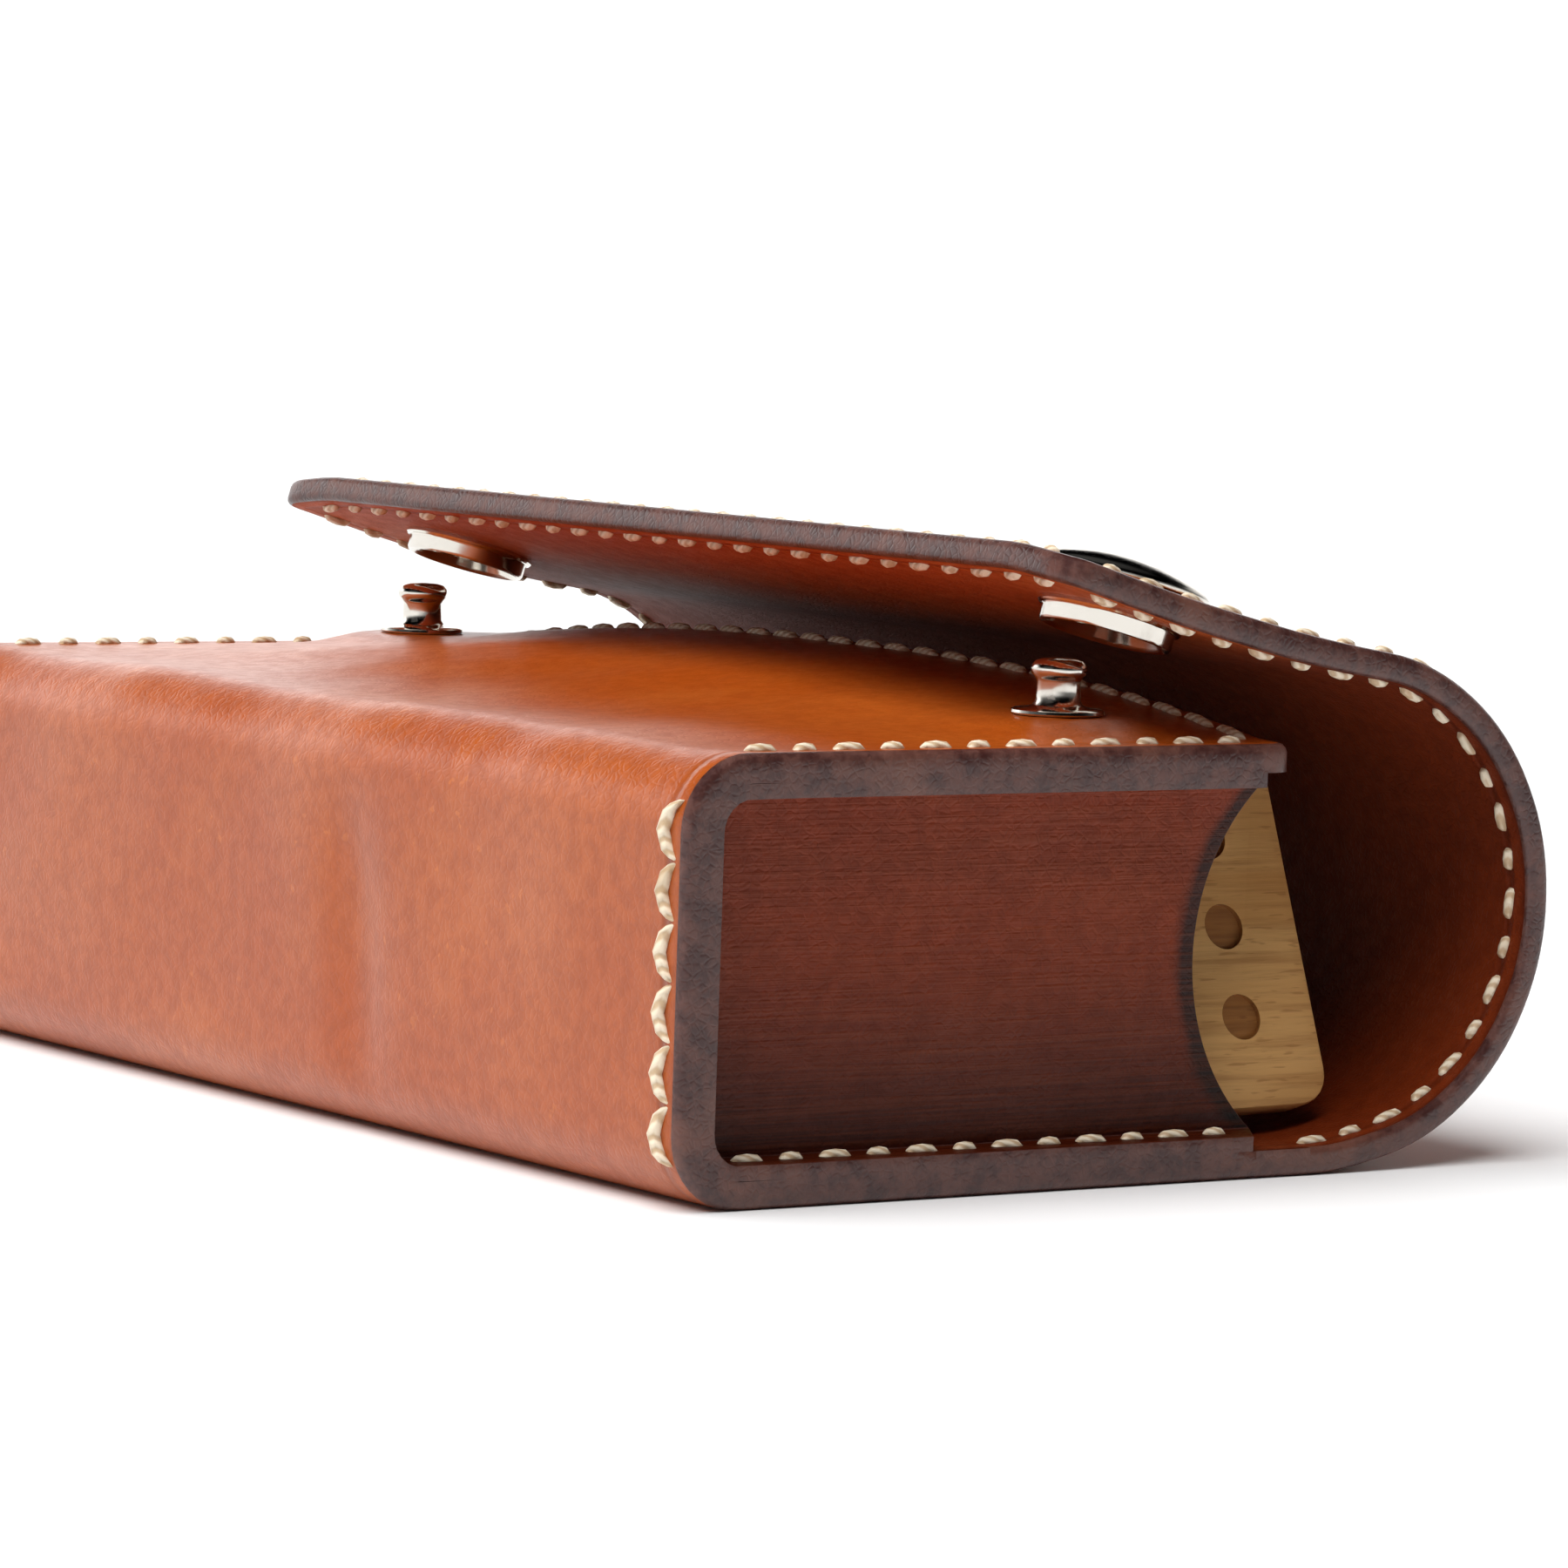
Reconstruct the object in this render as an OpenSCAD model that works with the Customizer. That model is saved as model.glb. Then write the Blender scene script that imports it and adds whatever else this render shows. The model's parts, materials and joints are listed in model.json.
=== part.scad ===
// Leather domino storage box: a stitched case that lies on its back panel,
// with a flap that curls round the mouth and closes on two snaps.
// +X points out of the mouth, +Y to the far side wall, +Z up.
// The origin is the middle of the back panel's underside. Millimetres.

/* [Case] */
// Width of the wrap across both side walls
case_w = 104; // [100:0.5:112]
// Length of the front panel, from the closed end to the mouth edge
case_l = 49; // [46:0.5:52]
// Height of the case over both panels
case_h = 29.2; // [29:0.1:31]
// Outer radius of the soft bends at the closed end
bend_r = 5; // [4:0.5:7]
// How far the mouth edge arches up in its middle
crown = 3.3; // [1:0.1:3.4]
// Radius of the rounded corners of the leather
corner_r = 3; // [2:0.5:4]
// Distance the side walls stand in from the edges of the panels
margin = 3.6; // [3:0.1:4]
// Radius of the thumb cut in the side walls
thumb_r = 15.5; // [14:0.5:18]
// Depth of the thumb cut, back from the mouth edge
thumb_depth = 5.8; // [4:0.2:8]

/* [Leather] */
// Thickness of the outer leather
outer_t = 1.2; // [1:0.05:1.3]
// Thickness of the lining
lining_t = 0.7; // [0.5:0.05:0.8]
// Thickness of the side wall leather
wall_t = 1; // [0.8:0.05:1.2]
// Thickness of the side wall lining
wall_lining_t = 0.7; // [0.5:0.05:0.9]

/* [Flap] */
// Least distance from the mouth edge to the flap's first bend
flap_gap = 4.3; // [4:0.1:6]
// Length of each short length of the curl
curl_len = 7.8; // [7.4:0.1:8.2]
// Length of the last length of the curl, over the mouth
curl_end_len = 9.5; // [9:0.1:10.5]
// Length of the flap's flat end
flap_len = 22.3; // [21:0.1:24]
// Rise of the first length of the curl, in degrees
curl_start = 12; // [10:0.5:13]
// Turn from each length of the curl to the next, in degrees
curl_angle = 26.5; // [26:0.1:27]
// Heading of the flap's flat end, in degrees
flap_heading = 163.5; // [160:0.5:166]

/* [Stitching] */
// Diameter of the waxed thread
thread_d = 0.8; // [0.6:0.05:0.9]
// Distance from one stitch to the next
stitch_pitch = 3.8; // [3.4:0.1:4.5]
// Length of thread that shows in one stitch
stitch_len = 3; // [2.4:0.1:3.2]
// Distance of the stitch line from the leather's edge
stitch_inset = 2; // [1.6:0.1:2.2]

/* [Snaps] */
// Distance of each snap from the side edge of the flap
snap_inset = 10.5; // [10:0.5:16]
// Distance of the snaps from the bend before the flap's flat end
snap_reach = 10.5; // [10.3:0.05:10.7]
// Distance of the studs back from the flap's first bend
snap_span = 17; // [16.8:0.05:17.2]
// Diameter of the domed cap
cap_d = 12.5; // [11:0.1:14]
// Height of the domed cap
cap_h = 2.2; // [1.6:0.1:2.8]
// Diameter of the socket
socket_d = 10; // [9.4:0.1:11]
// Depth of the socket below the lining
socket_h = 1.6; // [1.2:0.1:1.8]
// Diameter of the stud's neck
stud_d = 3.8; // [3.4:0.1:4]
// Height of the stud over the front panel
stud_h = 3.8; // [3.4:0.1:3.9]
// Diameter of the stud's flange and of the rivet under it
flange_d = 6.4; // [6:0.1:7]
// Thickness of the snaps' sheet metal
metal_t = 0.4; // [0.3:0.05:0.5]

/* [Tiles] */
// Length of a domino tile
tile_l = 50.8; // [48:0.1:51]
// Air over the leaning tiles, under the lining of the front panel
tile_room = 0.575; // [0.4:0.025:1]
// Thickness of a domino tile
tile_t = 2.8; // [2.4:0.1:2.9]
// Radius of a tile's corners
tile_r = 2.4; // [1:0.1:4]
// Lean of the row of tiles, in degrees
tile_lean = 20; // [19:0.5:21]
// How far the first tile stands out past the others
tile_out = 4.5; // [2:0.5:4.5]
// Diameter of a pip
pip_d = 3.2; // [2:0.1:4]

/* [Hidden] */
$fn = 48;

near = -1;
far = 1;
eps = 0.01;
// Running gap between pieces that touch or pass each other
gap = 0.3;
// Air left under pieces that lie on a curved surface
seat = 0.05;
// Play round the stud, which swings a little as it enters the socket
stud_play = 0.65;
skin_t = outer_t + lining_t;
half_w = case_w / 2;
half_l = case_l / 2;
mouth_x = half_l;
end_x = -half_l;
bend_x = end_x + bend_r;
wall_y = half_w - margin;
inner_y = wall_y - wall_t - wall_lining_t;
// A tile is as wide as stands under the front panel, leaning; the row fills the case from
// side wall to side wall, and the flap's first bend stays clear of the tiles' ends
tile_w = (case_h - 2 * skin_t - tile_room - tile_t * sin(tile_lean)) / cos(tile_lean);
tile_pitch = (tile_t + gap / 4) / cos(tile_lean);
tile_count = floor((2 * inner_y - gap - tile_t * cos(tile_lean) - tile_w * sin(tile_lean)) / tile_pitch);
home_x = end_x + skin_t + gap;
row_y = -inner_y + gap;
floor_z = skin_t + gap / 2;
flap_start = max(flap_gap, home_x + tile_l + gap - mouth_x);
last_seg = 8;
// Steps of the arched front panel along and across
panel_steps = 8;
arch_steps = 14;
arch_power = 2.5;
snap_y = half_w - snap_inset;
thread_r = thread_d / 2;
// Height of an octagonal thread's axis over the leather that it lies on
thread_lift = thread_r * cos(22.5);
leather = "#b5602f";
lining_colour = "#8a4526";
thread_colour = "#efe6d2";
nickel = "#c8c8cc";
wood = "#dcbb82";

// ---- Shape of the arched front panel

function smooth(t) = t <= 0 ? 0 : t >= 1 ? 1 : t * t * (3 - 2 * t);
function arch(y) = abs(y) >= wall_y ? 0 : 1 - pow(abs(y) / wall_y, arch_power);
function panel_rise(x, y) = crown * smooth((x - bend_x) / (mouth_x - bend_x)) * arch(y);
function rise_slope_y(x, y) = atan((panel_rise(x, y + 0.5) - panel_rise(x, y - 0.5)));

corner_angles = [90, 60, 30, 0];
// [y, x of the mouth edge there], from the near edge to the far edge
panel_columns = concat(
    [for (a = corner_angles)
        [-half_w + corner_r - corner_r * sin(a), mouth_x - corner_r + corner_r * cos(a)]],
    [for (i = [0 : arch_steps]) [wall_y * (2 * i / arch_steps - 1), mouth_x]],
    [for (i = [3 : -1 : 0]) let (a = corner_angles[i])
        [half_w - corner_r + corner_r * sin(a), mouth_x - corner_r + corner_r * cos(a)]]
);

// The arched part of the front panel: top and under are depths below its upper face
module arched_panel(top, under) {
    start_x = bend_x - gap;
    nc = len(panel_columns);
    nr = panel_steps + 1;
    function spot(i, c) = start_x + (panel_columns[c][1] - start_x) * i / panel_steps;
    function layer(depth) = [
        for (i = [0 : panel_steps], c = [0 : nc - 1])
            let (x = spot(i, c), y = panel_columns[c][0])
                [x, y, case_h - depth + panel_rise(x, y)]
    ];
    n = nr * nc;
    function upper(i, c) = i * nc + c;
    function lower(i, c) = n + i * nc + c;
    faces = concat(
        [for (i = [0 : nr - 2], c = [0 : nc - 2]) [upper(i, c), upper(i + 1, c + 1), upper(i + 1, c)]],
        [for (i = [0 : nr - 2], c = [0 : nc - 2]) [upper(i, c), upper(i, c + 1), upper(i + 1, c + 1)]],
        [for (i = [0 : nr - 2], c = [0 : nc - 2]) [lower(i, c), lower(i + 1, c), lower(i + 1, c + 1)]],
        [for (i = [0 : nr - 2], c = [0 : nc - 2]) [lower(i, c), lower(i + 1, c + 1), lower(i, c + 1)]],
        [for (i = [0 : nr - 2]) [upper(i, 0), upper(i + 1, 0), lower(i + 1, 0)]],
        [for (i = [0 : nr - 2]) [upper(i, 0), lower(i + 1, 0), lower(i, 0)]],
        [for (i = [0 : nr - 2]) [upper(i + 1, nc - 1), upper(i, nc - 1), lower(i, nc - 1)]],
        [for (i = [0 : nr - 2]) [upper(i + 1, nc - 1), lower(i, nc - 1), lower(i + 1, nc - 1)]],
        [for (c = [0 : nc - 2]) [upper(0, c + 1), upper(0, c), lower(0, c)]],
        [for (c = [0 : nc - 2]) [upper(0, c + 1), lower(0, c), lower(0, c + 1)]],
        [for (c = [0 : nc - 2]) [upper(nr - 1, c), upper(nr - 1, c + 1), lower(nr - 1, c + 1)]],
        [for (c = [0 : nc - 2]) [upper(nr - 1, c), lower(nr - 1, c + 1), lower(nr - 1, c)]]
    );
    polyhedron(points = concat(layer(top), layer(under)), faces = faces, convexity = 4);
}

// ---- Path of the flap: a chain of straight lengths, joined at bends

function heading(k) = k == last_seg ? flap_heading : curl_start + (k - 1) * curl_angle;
function seg_length(k) = k == last_seg ? flap_len : k == last_seg - 1 ? curl_end_len : curl_len;
function bend(k) = k == 1
    ? [mouth_x + flap_start, skin_t / 2]
    : bend(k - 1) + seg_length(k - 1) * [cos(heading(k - 1)), sin(heading(k - 1))];

// Puts a child drawn with its bend at the origin, along +X and lining up, on length k
module on_length(k) {
    translate([bend(k)[0], 0, bend(k)[1]]) rotate([0, -heading(k), 0]) children();
}

// A flat outline in X and Z, given a depth along Y from y0
module slab(y0, depth) {
    translate([0, y0 + depth, 0]) rotate([90, 0, 0]) linear_extrude(depth) children();
}

module case_outline(inset) {
    translate([bend_x, inset]) square([case_l + 2 * flap_start, case_h - 2 * inset]);
    translate([end_x + inset, bend_r]) square([bend_r - inset + eps, case_h - 2 * bend_r]);
    translate([bend_x, bend_r]) circle(bend_r - inset);
    translate([bend_x, case_h - bend_r]) circle(bend_r - inset);
}

// Closed end, both bends and back panel: the skin between two depths
module end_and_back(from, to) {
    first = bend(1);
    difference() {
        case_outline(from);
        case_outline(to);
        translate([bend_x, case_h / 2]) square([2 * case_l, case_h]);
        translate([first[0], -case_h / 2]) square([2 * case_l, 2 * case_h]);
    }
    // rounded end of the back panel at the flap's first bend
    intersection() {
        translate(first) circle(skin_t / 2);
        translate([first[0] - skin_t, from]) square([2 * skin_t, to - from]);
    }
}

module case_layer(from, to) {
    slab(-half_w, case_w) end_and_back(from, to);
    arched_panel(from, to);
}

module case_outer() {
    color(leather) case_layer(0, outer_t);
}

module case_lining() {
    color(lining_colour) case_layer(outer_t, skin_t);
}

// ---- Side walls

thumb_x = mouth_x - thumb_depth + thumb_r;
wall_top = case_h - skin_t;

module wall_face(inset) {
    round_r = bend_r - skin_t + inset;
    low = skin_t + inset;
    back_x = end_x + skin_t + inset;
    difference() {
        union() {
            translate([back_x + round_r, low]) square([mouth_x - back_x - round_r, wall_top - inset - low]);
            translate([back_x, low + round_r]) square([round_r + eps, wall_top - inset - low - 2 * round_r]);
            translate([back_x + round_r, low + round_r]) circle(round_r);
            translate([back_x + round_r, wall_top - inset - round_r]) circle(round_r);
        }
        translate([thumb_x, case_h / 2]) circle(thumb_r);
    }
}

// Flanges turned outwards, sewn to the front panel, the back panel and the closed end
module wall_flanges() {
    strip_l = case_l - bend_r - corner_r;
    for (z = [skin_t, wall_top - wall_t])
        translate([bend_x, 0, z]) cube([strip_l, margin + eps, wall_t]);
    translate([end_x + skin_t, 0, bend_r]) cube([wall_t, margin + eps, case_h - 2 * bend_r]);
}

module side_wall(side) {
    slab(side == near ? -wall_y : wall_y - wall_t, wall_t) wall_face(0);
    if (side == near) translate([0, -half_w, 0]) wall_flanges();
    else translate([0, wall_y - eps, 0]) wall_flanges();
}

module near_wall() {
    color(leather) side_wall(near);
}

module far_wall() {
    color(leather) side_wall(far);
}

module wall_lining(side) {
    y0 = side == near ? -wall_y + wall_t : wall_y - wall_t - wall_lining_t;
    slab(y0, wall_lining_t) wall_face(0);
}

module near_wall_lining() {
    color(lining_colour) wall_lining(near);
}

module far_wall_lining() {
    color(lining_colour) wall_lining(far);
}

// ---- Flap

// One length of the curl between depths v0 and v1 from its outer face; it starts clear of
// the rounded end of the length before it, and ends in a round end of its own
module curl_layer(k, v0, v1) {
    start = skin_t / 2 + gap;
    on_length(k) slab(-half_w, case_w) intersection() {
        union() {
            translate([start, -skin_t / 2]) square([seg_length(k) - start, skin_t]);
            translate([seg_length(k), 0]) circle(skin_t / 2);
        }
        translate([0, v0 - skin_t / 2]) square([seg_length(k) + skin_t, v1 - v0]);
    }
}

module flap_end_plan() {
    start = skin_t / 2 + gap;
    reach = flap_len - start;
    translate([start, -half_w]) square([reach - corner_r, case_w]);
    translate([start, -half_w + corner_r]) square([reach, case_w - 2 * corner_r]);
    for (y = [-half_w + corner_r, half_w - corner_r])
        translate([flap_len - corner_r, y]) circle(corner_r);
}

// Width of the hole that the snap's stud enters, through the socket and the leather
bore_d = stud_d + 4 * stud_play;

module flap_end_layer(v0, v1) {
    on_length(last_seg) translate([0, 0, v0 - skin_t / 2]) difference() {
        linear_extrude(v1 - v0) flap_end_plan();
        for (side = [near, far])
            translate([snap_reach, side * snap_y, -skin_t]) cylinder(h = 3 * skin_t, d = bore_d);
    }
}

module flap_outer(k) {
    color(leather) curl_layer(k, 0, outer_t);
}

module flap_lining(k) {
    color(lining_colour) curl_layer(k, outer_t, skin_t);
}

module flap_outer_end() {
    color(leather) flap_end_layer(0, outer_t);
}

module flap_lining_end() {
    color(lining_colour) flap_end_layer(outer_t, skin_t);
}

// ---- Stitching

// One stitch lying on z = 0 along X, centred
module stitch() {
    translate([-stitch_len / 2, 0, thread_lift])
        rotate([0, 90, 0]) rotate([0, 0, 22.5]) cylinder(h = stitch_len, r = thread_r, $fn = 8);
}

// Stitches that fit between two places on a line, evenly spaced
function stitch_spots(from, to) =
    let (n = max(1, floor((to - from) / stitch_pitch)), first = (from + to - (n - 1) * stitch_pitch) / 2)
        [for (i = [0 : n - 1]) first + i * stitch_pitch];

stitch_y = half_w - stitch_inset;

module front_panel_stitches() {
    color(thread_colour)
        for (side = [near, far], x = stitch_spots(bend_x, mouth_x - corner_r))
            translate([x, side * stitch_y, case_h]) stitch();
}

module mouth_stitches() {
    x = mouth_x - stitch_inset;
    color(thread_colour)
        for (y = stitch_spots(-stitch_y + stitch_inset, stitch_y - stitch_inset))
            translate([x, y, case_h + panel_rise(x, y) + 2 * seat])
                rotate([rise_slope_y(x, y), 0, 0]) rotate([0, 0, 90]) stitch();
}

module back_panel_stitches() {
    color(thread_colour)
        for (side = [near, far], x = stitch_spots(bend_x, mouth_x - corner_r))
            translate([x, side * stitch_y, skin_t + wall_t]) stitch();
}

module seam_stitches(side) {
    color(thread_colour)
        for (z = stitch_spots(bend_r, case_h - bend_r))
            translate([end_x, side * stitch_y, z]) rotate([0, -90, 0]) stitch();
}

module near_seam_stitches() {
    seam_stitches(near);
}

module far_seam_stitches() {
    seam_stitches(far);
}

module side_stitches(k, spots) {
    for (side = [near, far], x = spots)
        on_length(k) translate([x, side * stitch_y, skin_t / 2]) stitch();
}

module flap_stitches(k) {
    color(thread_colour)
        side_stitches(k, stitch_spots(skin_t / 2 + gap, seg_length(k)));
}

module flap_stitches_end() {
    color(thread_colour) {
        side_stitches(last_seg, stitch_spots(skin_t / 2 + gap, flap_len - corner_r));
        for (y = stitch_spots(-stitch_y + stitch_inset, stitch_y - stitch_inset))
            on_length(last_seg) translate([flap_len - stitch_inset, y, skin_t / 2])
                rotate([0, 0, 90]) stitch();
    }
}

// ---- Snaps

// Domed cap on the flap's outer face
module snap_cap(side) {
    dome_r = (pow(cap_d / 2, 2) + pow(cap_h, 2)) / (2 * cap_h);
    color(nickel)
        on_length(last_seg) translate([snap_reach, side * snap_y, -skin_t / 2])
            rotate([180, 0, 0]) intersection() {
                translate([0, 0, cap_h - dome_r]) sphere(dome_r);
                cylinder(h = cap_h, d = cap_d);
            }
}

// Socket on the lining side, with a mouth that flares towards the stud
module snap_socket(side) {
    rim_d = socket_d - 2 * metal_t;
    color(nickel)
        on_length(last_seg) translate([snap_reach, side * snap_y, skin_t / 2])
            difference() {
                union() {
                    cylinder(h = metal_t, d = socket_d);
                    cylinder(h = socket_h, d = rim_d);
                }
                translate([0, 0, -eps]) cylinder(h = socket_h + 2 * eps, d1 = bore_d, d2 = rim_d - 2 * metal_t);
            }
}

stud_x = bend(1)[0] - snap_span;
// Highest and lowest points of the front panel under a stud's flange
stud_seat = case_h + panel_rise(stud_x + flange_d / 2, snap_y - flange_d / 2) + seat;
rivet_seat = case_h - skin_t + panel_rise(stud_x - flange_d / 2, snap_y + flange_d / 2) - seat;

module snap_stud(side) {
    head_h = stud_h / 3;
    color(nickel)
        translate([stud_x, side * snap_y, stud_seat]) {
            cylinder(h = metal_t, d = flange_d);
            cylinder(h = stud_h - head_h, d = stud_d - 2 * metal_t);
            translate([0, 0, stud_h - head_h]) cylinder(h = head_h, d1 = stud_d, d2 = stud_d - 2 * metal_t);
        }
}

module stud_rivet(side) {
    color(nickel)
        translate([stud_x, side * snap_y, rivet_seat - metal_t]) cylinder(h = metal_t, d = flange_d);
}

// ---- Domino tiles, standing on their long edges and leaning towards the far wall

// Spacing of the leaning tiles across the case

module tile_blank() {
    linear_extrude(tile_t) {
        translate([tile_r, 0]) square([tile_l - 2 * tile_r, tile_w]);
        translate([0, tile_r]) square([tile_l, tile_w - 2 * tile_r]);
        for (x = [tile_r, tile_l - tile_r], y = [tile_r, tile_w - tile_r])
            translate([x, y]) circle(tile_r);
    }
}

// Stands a tile up on its long edge, its face towards the near wall
module lean(x, y, z) {
    translate([x, y, z]) rotate([-tile_lean, 0, 0]) translate([0, tile_t, 0]) rotate([90, 0, 0]) children();
}

// Rise of the first tile's outer end, which rides up on the curl of the flap
tile_nose = 1.2;

module first_tile() {
    pip_depth = 0.4;
    color(wood)
        lean(home_x + tile_out, row_y, floor_z + tile_t * sin(tile_lean))
            rotate([0, 0, tile_nose])
                difference() {
                    tile_blank();
                    // a row of three pips down each side of the outer half
                    for (row = [1 : 3], across = [1, 3])
                        translate([tile_l / 2 + across * tile_l / 8, row * tile_w / 4, tile_t - pip_depth])
                            cylinder(h = 1, d = pip_d);
                }
}

module tile_row() {
    color(wood)
        for (i = [1 : tile_count])
            lean(home_x, row_y + i * tile_pitch, floor_z + tile_t * sin(tile_lean)) tile_blank();
}

case_outer();
case_lining();
near_wall();
far_wall();
near_wall_lining();
far_wall_lining();
flap_outer(1);  // flap_outer_1
flap_outer(2);  // flap_outer_2
flap_outer(3);  // flap_outer_3
flap_outer(4);  // flap_outer_4
flap_outer(5);  // flap_outer_5
flap_outer(6);  // flap_outer_6
flap_outer(7);  // flap_outer_7
flap_outer_end();
flap_lining(1);  // flap_lining_1
flap_lining(2);  // flap_lining_2
flap_lining(3);  // flap_lining_3
flap_lining(4);  // flap_lining_4
flap_lining(5);  // flap_lining_5
flap_lining(6);  // flap_lining_6
flap_lining(7);  // flap_lining_7
flap_lining_end();
front_panel_stitches();
mouth_stitches();
back_panel_stitches();
near_seam_stitches();
far_seam_stitches();
flap_stitches(1);  // flap_stitches_1
flap_stitches(2);  // flap_stitches_2
flap_stitches(3);  // flap_stitches_3
flap_stitches(4);  // flap_stitches_4
flap_stitches(5);  // flap_stitches_5
flap_stitches(6);  // flap_stitches_6
flap_stitches(7);  // flap_stitches_7
flap_stitches_end();
snap_cap(near);  // near_snap_cap
snap_cap(far);  // far_snap_cap
snap_socket(near);  // near_snap_socket
snap_socket(far);  // far_snap_socket
snap_stud(near);  // near_snap_stud
snap_stud(far);  // far_snap_stud
stud_rivet(near);  // near_stud_rivet
stud_rivet(far);  // far_stud_rivet
first_tile();
tile_row();
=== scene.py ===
# %% [markdown]
# # A stitched leather domino case
# The case is one strip of thick orange hide, wrapped round a row of wooden tiles. It lies on its back panel,
# and its flap curls round the mouth and ends in two nickel snaps. The imported CAD model gives the frame:
# every piece below is made in metres in that same frame, and all but the flap's own leather and stitches
# ride on one of its bodies.

# %% Load the frame
import bpy
import json
from math import atan2, cos, hypot, pi, radians, sin, sqrt
from mathutils import Matrix, Vector

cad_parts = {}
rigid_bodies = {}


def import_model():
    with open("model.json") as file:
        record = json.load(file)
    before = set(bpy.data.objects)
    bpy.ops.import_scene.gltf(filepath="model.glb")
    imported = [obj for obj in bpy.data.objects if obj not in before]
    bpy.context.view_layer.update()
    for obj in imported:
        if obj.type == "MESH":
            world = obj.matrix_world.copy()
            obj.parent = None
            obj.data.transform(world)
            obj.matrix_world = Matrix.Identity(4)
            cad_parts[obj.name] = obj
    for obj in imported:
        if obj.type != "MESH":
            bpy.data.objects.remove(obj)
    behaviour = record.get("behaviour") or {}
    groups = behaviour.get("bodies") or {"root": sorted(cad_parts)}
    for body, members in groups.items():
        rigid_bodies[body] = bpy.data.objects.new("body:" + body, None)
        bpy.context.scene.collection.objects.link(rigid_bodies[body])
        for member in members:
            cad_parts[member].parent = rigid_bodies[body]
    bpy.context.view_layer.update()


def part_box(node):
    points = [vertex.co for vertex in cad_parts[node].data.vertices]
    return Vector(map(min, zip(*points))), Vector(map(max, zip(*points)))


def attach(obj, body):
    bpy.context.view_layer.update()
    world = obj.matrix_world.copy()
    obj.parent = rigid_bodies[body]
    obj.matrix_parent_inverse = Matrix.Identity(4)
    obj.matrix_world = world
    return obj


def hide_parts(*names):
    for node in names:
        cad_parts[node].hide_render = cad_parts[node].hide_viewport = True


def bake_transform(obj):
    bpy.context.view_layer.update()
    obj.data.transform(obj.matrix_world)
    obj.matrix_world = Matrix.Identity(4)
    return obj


for spare in list(bpy.data.objects):
    bpy.data.objects.remove(spare)
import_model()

# %% [markdown]
# ## Sizes of the case
# A leather worker starts from a cutting list. These are the sizes of the finished case in metres: the
# same ones that the frame was made from, so that each new piece lies exactly on the part it stands for.

# %% The cutting list
MM = 0.001
CASE_W, CASE_H = 104 * MM, 29.2 * MM
END_X, MOUTH_X = -24.5 * MM, 24.5 * MM
BEND_R, CROWN, CORNER_R = 5 * MM, 3.3 * MM, 3 * MM
HIDE_T, LINING_T = 1.2 * MM, 0.7 * MM
SKIN_T = HIDE_T + LINING_T
WALL_T, WALL_LINING_T, MARGIN = 1 * MM, 0.7 * MM, 3.6 * MM
BEND_X = END_X + BEND_R
HALF_W = CASE_W / 2
WALL_Y = HALF_W - MARGIN
STITCH_IN = 2 * MM
TINY = 0.01 * MM
low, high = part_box("case_outer")
print("wrap from the frame:", [round(v / MM, 1) for v in (*low, *high)], "mm")

# %% [markdown]
# ## Working by selection
# In Blender's edit mode an operator works on whatever is selected. These small helpers do what a
# modeller's mouse does: make one object active, pick points by their place, and leave edit mode again.

# %% Picking and editing
def take(piece):
    """Makes this piece the only one selected, and the active one."""
    if bpy.context.mode != "OBJECT":
        bpy.ops.object.mode_set(mode="OBJECT")
    bpy.ops.object.select_all(action="DESELECT")
    piece.select_set(True)
    bpy.context.view_layer.objects.active = piece
    return piece


def clear(piece):
    """Deselects every point, edge and face of this piece."""
    take(piece)
    for group in (piece.data.vertices, piece.data.edges, piece.data.polygons):
        group.foreach_set("select", [False] * len(group))
    return piece.data


def edit(kind):
    """Opens edit mode on points, edges or faces, and keeps what is marked as selected."""
    bpy.context.tool_settings.mesh_select_mode = [kind == k for k in ("VERT", "EDGE", "FACE")]
    bpy.ops.object.mode_set(mode="EDIT")


def pick(piece, test, kind="VERT"):
    """Opens edit mode with the points, edges or faces selected whose middle passes the test."""
    mesh = clear(piece)
    if kind == "VERT":
        mesh.vertices.foreach_set("select", [bool(test(v.co)) for v in mesh.vertices])
    elif kind == "EDGE":
        spots = [[mesh.vertices[i].co for i in e.vertices] for e in mesh.edges]
        mesh.edges.foreach_set("select", [bool(test(a, b)) for a, b in spots])
    else:
        mesh.polygons.foreach_set("select", [bool(test(f)) for f in mesh.polygons])
    edit(kind)


def done(piece):
    """Closes edit mode."""
    bpy.ops.object.mode_set(mode="OBJECT")
    return piece


def fresh(operator, name, **settings):
    """Adds a simple mesh at the origin, with nothing else selected."""
    bpy.ops.object.select_all(action="DESELECT")
    operator(location=(0, 0, 0), **settings)
    piece = bpy.context.object
    piece.name = piece.data.name = name
    return piece


def apply_all(piece):
    """Applies every modifier, top first, as the Apply button does."""
    take(piece)
    for name in [m.name for m in piece.modifiers]:
        bpy.ops.object.modifier_apply(modifier=name)
    return piece


bpy.ops.object.select_all(action="DESELECT")
print("nothing selected:", not bpy.context.selected_objects)

# %% [markdown]
# ## A strip of hide
# Every leather part here is a strip that runs along a path. The way to model one is the way it is laid
# out: one cut edge is drawn across the width, then extruded along the path row by row. The strip has
# no thickness yet.

# %% Extruding a strip along a path
COLUMNS = 52


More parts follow.
